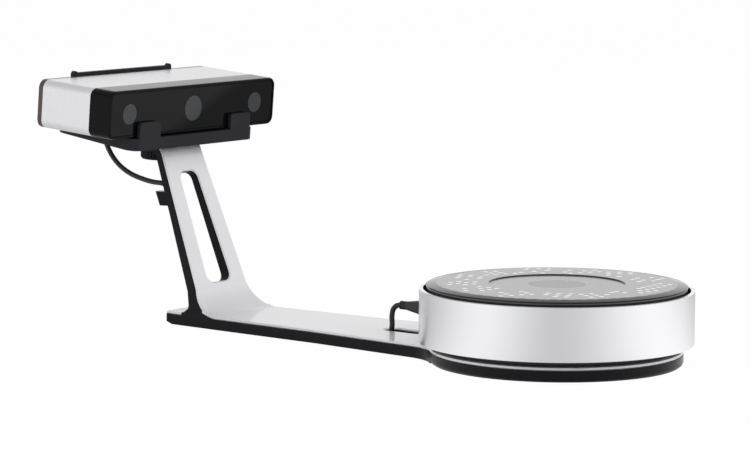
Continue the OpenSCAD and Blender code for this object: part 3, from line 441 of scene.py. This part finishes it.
def gloss_plastic(name, colour, roughness, specular=0.5):
    """Polished plastic with a little orange peel, hairline wipes and settled dust."""
    made = Finish(name, IOR=1.5, Specular_IOR_Level=specular)
    peel = made.noise(160, 2.0)
    wipes = made.noise(700, 4.0, 0.7, (1.0, 0.06, 1.0))
    clouds = made.noise(40, 3.0)
    tone = made.blend(clouds, shade(colour, 0.9), shade(colour, 1.12))
    rough = roughness + 0.05 * (wipes - 0.5) + 0.04 * (clouds - 0.5)
    return made.done(tone, rough, made.bump(peel, 0.05, 0.0001))


def backed_glass(name, colour, roughness, specular=0.5):
    """Glass over a dark backing, with a few smears."""
    made = Finish(name, IOR=1.5, Specular_IOR_Level=specular)
    smears = made.noise(18, 4.0, 0.6, (1.0, 0.35, 1.0))
    fine = made.noise(1400, 2.0)
    smeared = tuple(c + t for c, t in zip(colour, SMEAR_TINT))
    tone = made.blend((smears * 1.4 - 0.4).limited(), colour, smeared)
    rough = roughness + 0.02 * smears + 0.01 * fine
    return made.done(tone, rough, made.bump(smears, 0.02, 0.0001))


def window_glass(name, colour):
    """Round window: coated glass with a faint cool tint in clouds and darker specks."""
    made = Finish(name, IOR=1.5, Specular_IOR_Level=0.3)
    speckle = made.noise(420, 3.0)
    cool = made.noise(30, 1.0)
    tone = made.blend(cool, shade(colour, 0.92), (colour[0] * 0.95, colour[1] * 1.08, colour[2] * 1.04))
    tone = made.blend((speckle * 3.0 - 1.7).limited() * 0.35, tone, shade(colour, 0.6))
    return made.done(tone, 0.01 + 0.03 * speckle, made.bump(speckle, 0.01, 0.0001))


def rubber(name, colour, roughness=0.55):
    """Rubber: matte, with a fine skin and dust in it."""
    made = Finish(name, IOR=1.5, Specular_IOR_Level=0.5)
    skin = made.noise(1100, 3.0)
    dust = made.noise(60, 4.0)
    tone = made.blend((dust * 2.0 - 0.9).limited() * 0.5, colour, tuple(c + 0.012 for c in colour))
    return made.done(tone, roughness + 0.12 * (skin - 0.5), made.bump(skin, 0.22, 0.0001))


def printed_white(name):
    """White screen print seen through the glass: dense, with slightly uneven ink."""
    made = Finish(name, IOR=1.5)
    ink = made.noise(500, 3.0)
    tone = made.blend(ink, (0.74, 0.75, 0.76), (0.86, 0.87, 0.88))
    return made.done(tone, 0.14 + 0.06 * ink, made.bump(ink, 0.03, 0.00005))


def board(name, colour):
    """Circuit board: solder mask over faint copper areas."""
    made = Finish(name, IOR=1.5)
    areas = made.add("TexVoronoi", {"feature": "F1"}, {"Vector": made.place(), "Scale": 180.0})
    tone = made.blend((areas * 1.4).limited(), shade(colour, 0.8), shade(colour, 1.3))
    return made.done(tone, 0.3 + 0.1 * areas, made.bump(areas, 0.1, 0.0001))


FINISHES = {}


def finish(name):
    """A finish of this object, made when it is first asked for."""
    shell, glass, lead = settings("shell"), settings("glass"), settings("lead")
    makers = {
        "satin_sheet": lambda: satin_metal("satin_sheet", shell.silver, 0.44, metallic=0.5, coat=0.6),
        "satin_sleeve": lambda: satin_metal("satin_sleeve", shell.silver, 0.27, 1.2, 0.7),
        "polished_ring": lambda: turned_metal("polished_ring", shell.polished, 0.24),
        "base_plastic": lambda: moulded("base_plastic", shell.black, 0.34, 0.7, specular=0.12),
        "spine_plastic": lambda: moulded("spine_plastic", shell.black, 0.26, 0.4, specular=0.12),
        "cradle_plastic": lambda: moulded("cradle_plastic", shell.cradle, 0.50, 1.2, specular=0.2),
        "inner_plastic": lambda: moulded("inner_plastic", shade(shell.black, 1.2), 0.5),
        "bezel_gloss": lambda: gloss_plastic("bezel_gloss", (0.002, 0.002, 0.0025), 0.08, 0.12),
        "cover_gloss": lambda: gloss_plastic("cover_gloss", shell.cover, 0.20),
        "face_glass": lambda: backed_glass("face_glass", glass.face, 0.004, 0.22),
        "window": lambda: window_glass("window", glass.window),
        "platter_glass": lambda: backed_glass("platter_glass", glass.platter, 0.04, 0.85),
        "rim_glass": lambda: backed_glass("rim_glass", shade(glass.platter, 0.4), 0.05, 0.2),
        "middle_glass": lambda: backed_glass("middle_glass", glass.middle, 0.14, 0.85),
        "disc_glass": lambda: backed_glass("disc_glass", shade(glass.middle, 1.2), 0.2, 0.5),
        "lens": lambda: backed_glass("lens", (0.01, 0.012, 0.02), 0.01),
        "marker_print": lambda: printed_white("marker_print"),
        "jacket": lambda: rubber("jacket", lead.jacket, 0.42),
        "plug_rubber": lambda: rubber("plug_rubber", shade(lead.jacket, 1.4), 0.5),
        "foot_rubber": lambda: rubber("foot_rubber", (0.018, 0.018, 0.018), 0.75),
        "knob_plastic": lambda: moulded("knob_plastic", shell.black, 0.42, 0.6, specular=0.2),
        "screw_steel": lambda: turned_metal("screw_steel", (0.34, 0.34, 0.35), 0.3),
        "bright_steel": lambda: turned_metal("bright_steel", (0.62, 0.62, 0.63), 0.18),
        "zinc": lambda: satin_metal("zinc", (0.58, 0.58, 0.60), 0.38),
        "brass": lambda: turned_metal("brass", (0.70, 0.55, 0.28), 0.26),
        "gear_plastic": lambda: moulded("gear_plastic", (0.78, 0.74, 0.62), 0.45, 0.6),
        "board_green": lambda: board("board_green", (0.02, 0.13, 0.06)),
    }
    if name not in FINISHES:
        FINISHES[name] = makers[name]()
    return FINISHES[name]


def dress(obj, finish_name):
    """Gives a piece or a CAD node one finish."""
    if not obj.data.materials:
        obj.data.materials.append(None)
    for material_slot in obj.material_slots:
        material_slot.link = "OBJECT"
        material_slot.material = finish(finish_name)
    return obj


def add_piece(name, data, body, finish_name):
    """Adds a new object to the scene that rides on a body and takes one finish."""
    piece = bpy.data.objects.new(name, data)
    bpy.context.scene.collection.objects.link(piece)
    data.materials.append(finish(finish_name))
    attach(piece, body)
    return piece


def mesh_of(name, bm):
    """A mesh data block of a bmesh, which is freed."""
    mesh = bpy.data.meshes.new(name)
    bm.to_mesh(mesh)
    bm.free()
    return mesh


def ramp(at, stops):
    """A length in metres between given stops in millimetres, level past both ends."""
    at /= MM
    if at <= stops[0][0]:
        return stops[0][1] * MM
    for (low, first), (high, second) in zip(stops, stops[1:]):
        if at <= high:
            return (first + (second - first) * (at - low) / (high - low)) * MM
    return stops[-1][1] * MM


def respread(y, old, new):
    """Moves a place across the middle line from old half widths to new ones, in order outwards."""
    size, start, goal = abs(y), 0.0, 0.0
    for before, after in zip(old, new):
        if size <= before or before == old[-1]:
            return math.copysign(goal + (size - start) * (after - goal) / (before - start), y)
        start, goal = before, after
    return y


def fitted_stand(point):
    """The stand as the picture has it: bar and toe wider, riser narrower, slot wider."""
    rise = (point - RISER_FOOT).dot(UP_RISER)
    place = point.copy()
    if (point.z < BAR_TOP and point.x > BAR_BACK_X) or point.z < RISER_FOOT.z:
        widths = [ramp(-point.x, stops) for stops in BAR_WIDTHS]
        if -point.x > BAR_WIDTHS[0][0][0] * MM:
            place.y = respread(point.y, (STEADY_W, widths[0]), (STEADY_W, widths[1]))
        return place
    slots = [ramp(rise, stops) for stops in SLOT_WIDTHS]
    widths = [ramp(rise, stops) for stops in RISER_WIDTHS]
    place.y = respread(point.y, (slots[0], widths[0]), (slots[1], widths[1]))
    return place


def fitted_spine(point):
    """The spine, whose rear face is moved back towards its foot."""
    offset = point - RISER_FOOT
    rise, depth = offset.dot(UP_RISER), offset.dot(INTO_RISER)
    place = fitted_stand(point)
    if depth > SPINE_DEPTH and point.x < RISER_FOOT.x:
        place.x -= SPINE_EXTRA * max(0.0, min(1.0, 1.0 - rise / SPINE_TOP))
    return place


def fitted_toe(point):
    """The toe's cover, which starts behind the thicker spine."""
    place = fitted_stand(point)
    if point.x > TOE_FRONT_X:
        place.x -= SPINE_EXTRA
    return place


def fitted_clip(point):
    """The clip, level above and below."""
    offset = point - RISER_FOOT
    rise, depth = offset.dot(UP_RISER), offset.dot(INTO_RISER)
    out = depth - SPINE_DEPTH
    rise = CLIP_RISE + (rise - CLIP_RISE) * CLIP_HEIGHT_SHARE + out / math.tan(RISER_ANGLE)
    place = RISER_FOOT + UP_RISER * rise + INTO_RISER * (SPINE_DEPTH + out * CLIP_REACH_SHARE)
    place.y = point.y
    return place


def fitted_base(point):
    """The base, which comes a little nearer to the table than in the solids."""
    place = fitted_stand(point)
    if point.z < BASE_LOW:
        place.z -= BASE_DROP
    return place


def fitted_cradle(point):
    """The cradle: tray a little wider, plate behind a little narrower, underside rising towards the rear."""
    place = HEAD.inverted() @ point
    if place.z > PLATE_LOW and place.x < PLATE_X:
        place.y *= PLATE_SHARE
    elif abs(place.y) > TRAY_END_W:
        place.y *= TRAY_SHARE
    if place.z < TRAY_LOW and abs(place.y) > KEEL_W:
        place.z += TRAY_RISE * max(0.0, (TRAY_FRONT_X - place.x) / TRAY_D)
    return HEAD @ place


def fitted_knob(point):
    """The thumb screw, whose knob is smaller across and a little taller."""
    place = HEAD.inverted() @ point
    out = place - KNOB_MIDDLE
    if out.z < KNOB_TOP and math.hypot(out.x, out.y) > STUD_R:
        place = KNOB_MIDDLE + Vector((out.x * KNOB_R_SHARE, out.y * KNOB_R_SHARE, out.z * KNOB_H_SHARE))
    return HEAD @ place


def settle(piece):
    """Turns a piece's modifiers into its mesh."""
    settled = bpy.data.meshes.new_from_object(piece.evaluated_get(bpy.context.evaluated_depsgraph_get()))
    piece.modifiers.clear()
    piece.data = settled


def eased_shell(node, finish_name, width=0.0, steps=2, flat=30, fit=None, cuts=(), clamp=True):
    """Stands for a CAD node: its own shape, smoothly shaded, with its sharp edges eased by a small bevel.

    A fit moves each point to where the picture has it, after cuts across an axis that add points there.
    """
    source = frame["nodes"][node]
    bm = bmesh.new()
    bm.from_mesh(source.data)
    bmesh.ops.remove_doubles(bm, verts=bm.verts[:], dist=0.02 * MM)
    bmesh.ops.dissolve_limit(bm, angle_limit=math.radians(0.5), verts=bm.verts[:], edges=bm.edges[:])
    for axis, place in cuts:
        across = Vector([axis == i for i in range(3)])
        bmesh.ops.bisect_plane(
            bm, geom=bm.verts[:] + bm.edges[:] + bm.faces[:], plane_co=across * place, plane_no=across)
    if fit:
        for vert in bm.verts:
            vert.co = fit(vert.co)
    bmesh.ops.recalc_face_normals(bm, faces=bm.faces[:])
    for face in bm.faces:
        face.smooth = True
    for edge in bm.edges:
        edge.smooth = edge.is_manifold and edge.calc_face_angle(0) < math.radians(flat)
    mesh = mesh_of(node + "_shell", bm)
    piece = add_piece(node + "_shell", mesh, source["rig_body"], finish_name)
    if width:
        bevel = piece.modifiers.new("eased_edges", "BEVEL")
        bevel.width = width
        bevel.segments = steps
        bevel.limit_method = "ANGLE"
        bevel.angle_limit = math.radians(flat)
        bevel.use_clamp_overlap = clamp
        settle(piece)
        piece.data.set_sharp_from_angle(angle=math.radians(flat if steps == 1 else 50))
    piece.modifiers.new("level_faces", "WEIGHTED_NORMAL").keep_sharp = True
    settle(piece)
    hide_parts(node)
    return piece


class MakeStage(bpy.types.Operator):
    """Adds the camera, the pale floor, the soft sky and two softboxes."""
    bl_idname = "scanner.make_stage"
    bl_label = "Stage"

    def execute(self, context):
        stage = settings("stage")
        self.add_camera(context, stage)
        self.add_floor(stage)
        self.add_sky(context, stage)
        for azimuth, width in ((-100, 0.9), (29, 0.8)):
            self.add_softbox(math.radians(azimuth), width, stage.lamp_power)
        context.scene.view_settings.view_transform = "Standard"
        return {"FINISHED"}

    def add_camera(self, context, stage):
        """A camera that looks at the object as in the picture."""
        a, e, r = stage.camera_yaw, stage.camera_pitch, stage.camera_roll
        back = Vector((math.sin(a) * math.cos(e), -math.cos(a) * math.cos(e), math.sin(e)))
        level = Vector((math.cos(a), math.sin(a), 0))
        upright = back.cross(level)
        right = math.cos(r) * level + math.sin(r) * upright
        up = -math.sin(r) * level + math.cos(r) * upright
        data = bpy.data.cameras.new("camera")
        data.lens = stage.camera_lens
        data.sensor_width = 36.0
        data.clip_end = 100.0
        camera = bpy.data.objects.new("camera", data)
        turned = Matrix((right, up, back)).transposed().to_4x4()
        camera.matrix_world = Matrix.Translation(Vector(stage.camera_place)) @ turned
        context.scene.collection.objects.link(camera)
        context.scene.camera = camera

    def shine(self, nodes, where, stage):
        """Level that shiny surfaces see in a direction, and how far that is towards the far side."""
        parts = nodes.add("SeparateXYZ", values={"Vector": where}, output="X")
        x, y, z = (Term(nodes.tree, s) for s in parts.socket.node.outputs)
        turned = x.math("ARCTAN2", y, x)

        def lobe(azimuth, power):
            off = turned - math.radians(azimuth)
            return off.math("MAXIMUM", off.math("COSINE", off), 0.0) ** power

        level = stage.wall_shine + stage.near_shine * lobe(-113, 4.0) + stage.right_shine * lobe(26, 1.9)
        return level, lobe(128, 2.0), (x, y, z)

    def add_floor(self, stage):
        """A plain pale floor that keeps a faint shadow."""
        bm = bmesh.new()
        bmesh.ops.create_grid(bm, x_segments=1, y_segments=1, size=stage.floor_size / 2)
        floor = bpy.data.objects.new("floor", mesh_of("floor", bm))
        bpy.context.scene.collection.objects.link(floor)
        made = Finish("floor_paper", Specular_IOR_Level=0.0)
        fibre = made.noise(60, 3.0)
        tone = made.blend(fibre, shade(stage.floor_colour, 0.995), stage.floor_colour)
        paper = made.add("BsdfPrincipled", values={
            "Base Color": tone, "Roughness": 0.9, "Specular IOR Level": 0.0})
        level, _, (x, y, _) = self.shine(made, made.place(), stage)
        edge = Vector(stage.dark_card)
        across = (y - edge.y) * CARD_ACROSS[1] + (x - edge.x) * CARD_ACROSS[0]
        card = (across * CARD_SHARP + 0.5).limited()
        beyond = ((x * x + y * y - 0.2) * 8.0).limited() * ((y - 0.3) * 6.0).limited()
        level = level * (1.0 - beyond * (FAR_LOSS + CARD_LOSS * card))
        mirrored = made.add("Emission", values={"Color": (1, 1, 1), "Strength": level})
        lit = made.add("Emission", values={"Color": (1, 1, 1), "Strength": 1.0})
        shone = made.add("LightPath", output="Is Glossy Ray") * FLOOR_SHINE
        seen = made.add("LightPath", output="Is Camera Ray") * FLOOR_SEEN
        under = made.add("MixShader", values={"Fac": shone, "Shader": paper, "Shader_001": mirrored})
        made.end("ShaderNodeOutputMaterial", made.add("MixShader", values={
            "Fac": seen, "Shader": under, "Shader_001": lit}))
        floor.data.materials.append(made.material)

    def add_sky(self, context, stage):
        """Soft light from all round; what shines sees a bright far side and two screens beside the camera."""
        world = bpy.data.worlds.new("sky")
        world.use_nodes = True
        sky = Nodes(world.node_tree)
        level, far, (_, _, z) = self.shine(sky, sky.add("TexCoord", output="Generated"), stage)
        horizon = (1.0 - z.math("ABSOLUTE", z) * 1.2).limited()
        mirrored = stage.zenith_shine + (level + stage.far_shine * far - stage.zenith_shine) * horizon
        shone = sky.add("LightPath", output="Is Glossy Ray")
        seen = sky.add("LightPath", output="Is Camera Ray")
        plain = stage.sky_level + 0.20 * horizon
        strength = (plain + (mirrored - plain) * shone) * (1.0 - seen) + seen
        sky.end("ShaderNodeOutputWorld", sky.add("Background", values={
            "Color": (1.0, 1.0, 1.0), "Strength": strength}))
        context.scene.world = world

    def add_softbox(self, azimuth, width, power):
        """A tall softbox that stands on the floor and lights the object from one side."""
        data = bpy.data.lights.new("softbox", "AREA")
        data.shape = "RECTANGLE"
        data.size, data.size_y = width, 1.5
        data.energy = power
        lamp = bpy.data.objects.new("softbox", data)
        place = Vector((math.cos(azimuth), math.sin(azimuth), 0)) * 1.7 + Vector((-0.1, 0, 0.85))
        lamp.location = place
        lamp.rotation_euler = (place - Vector((-0.1, 0, 0.1))).to_track_quat("Z", "Y").to_euler()
        lamp.visible_camera = False
        lamp.visible_glossy = False
        bpy.context.scene.collection.objects.link(lamp)


class MakeLead(bpy.types.Operator):
    """Adds the lead from the head down the spine and under the bar to the turntable."""
    bl_idname = "scanner.make_lead"
    bl_label = "Lead"

    def execute(self, context):
        lead = settings("lead")
        points = [Vector(p) * MM for p in LEAD_ROUTE]
        data = bpy.data.curves.new("lead_jacket", "CURVE")
        data.dimensions = "3D"
        data.bevel_depth = lead.diameter / 2
        data.bevel_resolution = 5
        data.resolution_u = 8
        data.use_fill_caps = True
        spline = data.splines.new("BEZIER")
        spline.bezier_points.add(len(points) - 1)
        for i, (knot, point) in enumerate(zip(spline.bezier_points, points)):
            before, after = points[max(i - 1, 0)], points[min(i + 1, len(points) - 1)]
            into, out = point - before, after - point
            way = Vector((0, 0, 0))
            for step in (into, out):
                if step.length:
                    way += step.normalized() / step.length
            way.normalize()
            knot.co = point
            knot.handle_left_type = knot.handle_right_type = "FREE"
            knot.handle_left = point - way * into.length / 3
            knot.handle_right = point + way * out.length / 3
        piece = add_piece("lead_jacket", data, "root", "jacket")
        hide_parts("lead")
        for node in ("lead_head_plug", "lead_table_plug"):
            eased_shell(node, "plug_rubber", 0.35 * MM)
        return {"FINISHED"}


class MakeStand(bpy.types.Operator):
    """Dresses the silver sheet, the spine behind it and the clip of the lead."""
    bl_idname = "scanner.make_stand"
    bl_label = "Stand"

    def execute(self, context):
        edge = settings("shell").sheet_edge
        waist = ((0, WAIST_X),)
        eased_shell("top_skin", "satin_sheet", edge, 1, fit=fitted_stand, cuts=waist, clamp=False)
        eased_shell("toe_cover", "satin_sheet", edge, 1, fit=fitted_toe)
        eased_shell("riser_spine", "spine_plastic", 0.4 * MM, fit=fitted_spine)
        eased_shell("cable_clip", "spine_plastic", 0.5 * MM, fit=fitted_clip)
        return {"FINISHED"}


class MakeBase(bpy.types.Operator):
    """Dresses the black moulding under the bar with its cover, pads and screws."""
    bl_idname = "scanner.make_base"
    bl_label = "Base"

    def execute(self, context):
        eased_shell("base_moulding", "base_plastic", 0.4 * MM, fit=fitted_base, cuts=((0, WAIST_X),))
        eased_shell("channel_cover", "base_plastic", 0.15 * MM)
        for node in ("toe_pad", "disc_pad"):
            eased_shell(node, "foot_rubber", 0.2 * MM)
        for node in ("base_screws", "spine_screws"):
            dress(frame["nodes"][node], "screw_steel")
        return {"FINISHED"}


class MakeCradle(bpy.types.Operator):
    """Dresses the cradle, its strips and screws and the thumb screw."""
    bl_idname = "scanner.make_cradle"
    bl_label = "Cradle"

    def execute(self, context):
        keel = [(1, side * (KEEL_W + step)) for side in (-1, 1) for step in (-KEEL_CUT, KEEL_CUT)]
        eased_shell("cradle", "cradle_plastic", 0.5 * MM, fit=fitted_cradle, cuts=keel)
        eased_shell("thumb_screw", "knob_plastic", 0.15 * MM, fit=fitted_knob)
        dress(frame["nodes"]["cradle_strips"], "foot_rubber")
        dress(frame["nodes"]["cradle_screws"], "screw_steel")
        dress(frame["nodes"]["tripod_nut"], "brass")
        return {"FINISHED"}


class MakeHeadShells(bpy.types.Operator):
    """Dresses the sleeve, the bezel and the rear cover of the head."""
    bl_idname = "scanner.make_head_shells"
    bl_label = "Head shells"

    def execute(self, context):
        eased_shell("head_sleeve", "satin_sleeve", 0.25 * MM)
        eased_shell("front_bezel", "bezel_gloss", 0.15 * MM)
        eased_shell("rear_cover", "cover_gloss", 0.25 * MM)
        return {"FINISHED"}


class MakeFace(bpy.types.Operator):
    """Dresses the dark face glass, its round windows and the optics behind them."""
    bl_idname = "scanner.make_face"
    bl_label = "Face"

    def execute(self, context):
        eased_shell("front_glass", "face_glass", 0.15 * MM)
        eased_shell("window_lenses", "window", 0.1 * MM)
        eased_shell("projector_lens", "lens")
        for node in ("left_camera", "right_camera", "light_engine", "projector_barrel"):
            eased_shell(node, "inner_plastic", 0.2 * MM)
        return {"FINISHED"}


class MakeHeadBack(bpy.types.Operator):
    """Dresses the button, the sockets and the screws behind the head, and what lies inside."""
    bl_idname = "scanner.make_head_back"
    bl_label = "Head back"

    def execute(self, context):
        eased_shell("power_button", "knob_plastic", 0.3 * MM)
        eased_shell("power_socket", "inner_plastic", 0.15 * MM)
        eased_shell("data_socket", "bright_steel", 0.1 * MM)
        eased_shell("chassis_rail", "zinc", 0.15 * MM)
        dress(frame["nodes"]["head_screws"], "screw_steel")
        dress(frame["nodes"]["head_board"], "board_green")
        return {"FINISHED"}


class MakeTurntable(bpy.types.Operator):
    """Dresses the ring, the floor and what the turntable holds inside."""
    bl_idname = "scanner.make_turntable"
    bl_label = "Turntable"

    def execute(self, context):
        eased_shell("turntable_ring", "polished_ring", 0.25 * MM)
        eased_shell("turntable_floor", "inner_plastic", 0.3 * MM)
        eased_shell("spindle", "bright_steel", 0.2 * MM)
        eased_shell("motor", "zinc", 0.3 * MM)
        eased_shell("motor_bracket", "zinc", 0.2 * MM)
        eased_shell("turntable_socket", "bright_steel", 0.1 * MM)
        dress(frame["nodes"]["turntable_pads"], "foot_rubber")
        dress(frame["nodes"]["turntable_screws"], "screw_steel")
        dress(frame["nodes"]["turntable_board"], "board_green")
        for node in ("bearing_inner_race", "bearing_outer_race", "bearing_balls"):
            dress(frame["nodes"][node], "bright_steel")
        for node in ("motor_pinion", "platter_gear"):
            dress(frame["nodes"][node], "gear_plastic")
        return {"FINISHED"}


class MakePlatter(bpy.types.Operator):
    """Dresses the platter, darkens its glass's bevel and prints the white dots for the cameras."""
    bl_idname = "scanner.make_platter"
    bl_label = "Platter"

    def execute(self, context):
        eased_shell("platter_carrier", "inner_plastic", 0.3 * MM)
        eased_shell("marker_glass", "platter_glass", 0.12 * MM, flat=20)
        self.add_rim()
        eased_shell("middle_plate", "middle_glass", 0.12 * MM)
        eased_shell("middle_disc", "disc_glass", 0.12 * MM)
        self.add_markers()
        return {"FINISHED"}

    def add_rim(self):
        """The dark bevel round the glass."""
        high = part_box("marker_glass")[1]
        places = []
        for r, z in RIM_PROFILE:
            off = RIM_OFF * (r > RIM_FLAT)
            places.append((high.x + r * MM + off, high.z + z * MM + off))
        bm = bmesh.new()
        rings = []
        for k in range(RIM_STEPS):
            a = 2 * math.pi * k / RIM_STEPS
            rings.append([bm.verts.new((r * math.cos(a), r * math.sin(a), z)) for r, z in places])
        for k in range(RIM_STEPS):
            one, two = rings[k], rings[(k + 1) % RIM_STEPS]
            for i in range(len(places)):
                j = (i + 1) % len(places)
                bm.faces.new((one[i], two[i], two[j], one[j])).smooth = True
        bmesh.ops.recalc_face_normals(bm, faces=bm.faces[:])
        mesh = mesh_of("glass_rim", bm)
        mesh.set_sharp_from_angle(angle=math.radians(25))
        add_piece("glass_rim", mesh, "platter", "rim_glass")

    def add_markers(self):
        """Groups of dots round the glass, each with its own gaps."""
        marks = settings("markers")
        draw = random.Random(marks.seed)
        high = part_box("marker_glass")[1]
        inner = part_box("middle_plate")[1].x + DOTS_INNER
        outer = high.x - DOTS_OUTER
        spots = DOT_COLUMNS * DOT_ROWS
        bm = bmesh.new()
        for group in range(marks.groups):
            turn = 2 * math.pi * group / marks.groups
            middle = Vector((math.cos(turn), math.sin(turn), 0)) * (inner + outer) / 2
            skew = Matrix.Rotation(draw.uniform(-DOT_SKEW, DOT_SKEW), 3, "Z")
            gaps = draw.sample(range(spots), DOT_GAPS)
            for spot in range(spots):
                if spot in gaps:
                    continue
                column, row = spot % DOT_COLUMNS, spot // DOT_COLUMNS
                place = Vector((column - (DOT_COLUMNS - 1) / 2, row - (DOT_ROWS - 1) / 2, 0)) * marks.pitch
                place = middle + skew @ place
                if inner < place.length < outer:
                    bmesh.ops.create_circle(
                        bm, cap_ends=True, segments=20, radius=marks.dot_r,
                        matrix=Matrix.Translation((place.x, place.y, high.z)))
        rims = bmesh.ops.extrude_face_region(bm, geom=bm.faces[:])["geom"]
        tops = [part for part in rims if isinstance(part, bmesh.types.BMVert)]
        bmesh.ops.translate(bm, verts=tops, vec=(0, 0, DOT_H))
        bmesh.ops.recalc_face_normals(bm, faces=bm.faces[:])
        add_piece("marker_dots", mesh_of("marker_dots", bm), "platter", "marker_print")


STEPS = (
    MakeStage, MakeLead, MakeStand, MakeBase, MakeCradle, MakeHeadShells, MakeFace, MakeHeadBack,
    MakeTurntable, MakePlatter,
)


class ScannerPanel(bpy.types.Panel):
    """Lists the settings and the steps."""
    bl_idname = "VIEW3D_PT_scanner"
    bl_label = "Scanner"
    bl_space_type = "VIEW_3D"
    bl_region_type = "UI"
    bl_category = "Scanner"

    def draw(self, context):
        for step in STEPS:
            self.layout.operator(step.bl_idname)
        for name, group in SETTINGS.items():
            part = self.layout.box()
            for key in group.__annotations__:
                part.prop(getattr(context.scene, name), key)


def register():
    """Registers the settings, the steps and the panel."""
    for name, group in SETTINGS.items():
        bpy.utils.register_class(group)
        setattr(bpy.types.Scene, name, PointerProperty(type=group))
    for step in (*STEPS, ScannerPanel):
        bpy.utils.register_class(step)


def unregister():
    """Takes them out again."""
    for step in reversed((*STEPS, ScannerPanel)):
        bpy.utils.unregister_class(step)
    for name, group in SETTINGS.items():
        delattr(bpy.types.Scene, name)
        bpy.utils.unregister_class(group)


def main():
    """Makes the whole scene."""
    register()
    for step in STEPS:
        group, name = step.bl_idname.split(".")
        getattr(getattr(bpy.ops, group), name)()
    bpy.context.view_layer.update()


if __name__ == "__main__":
    main()
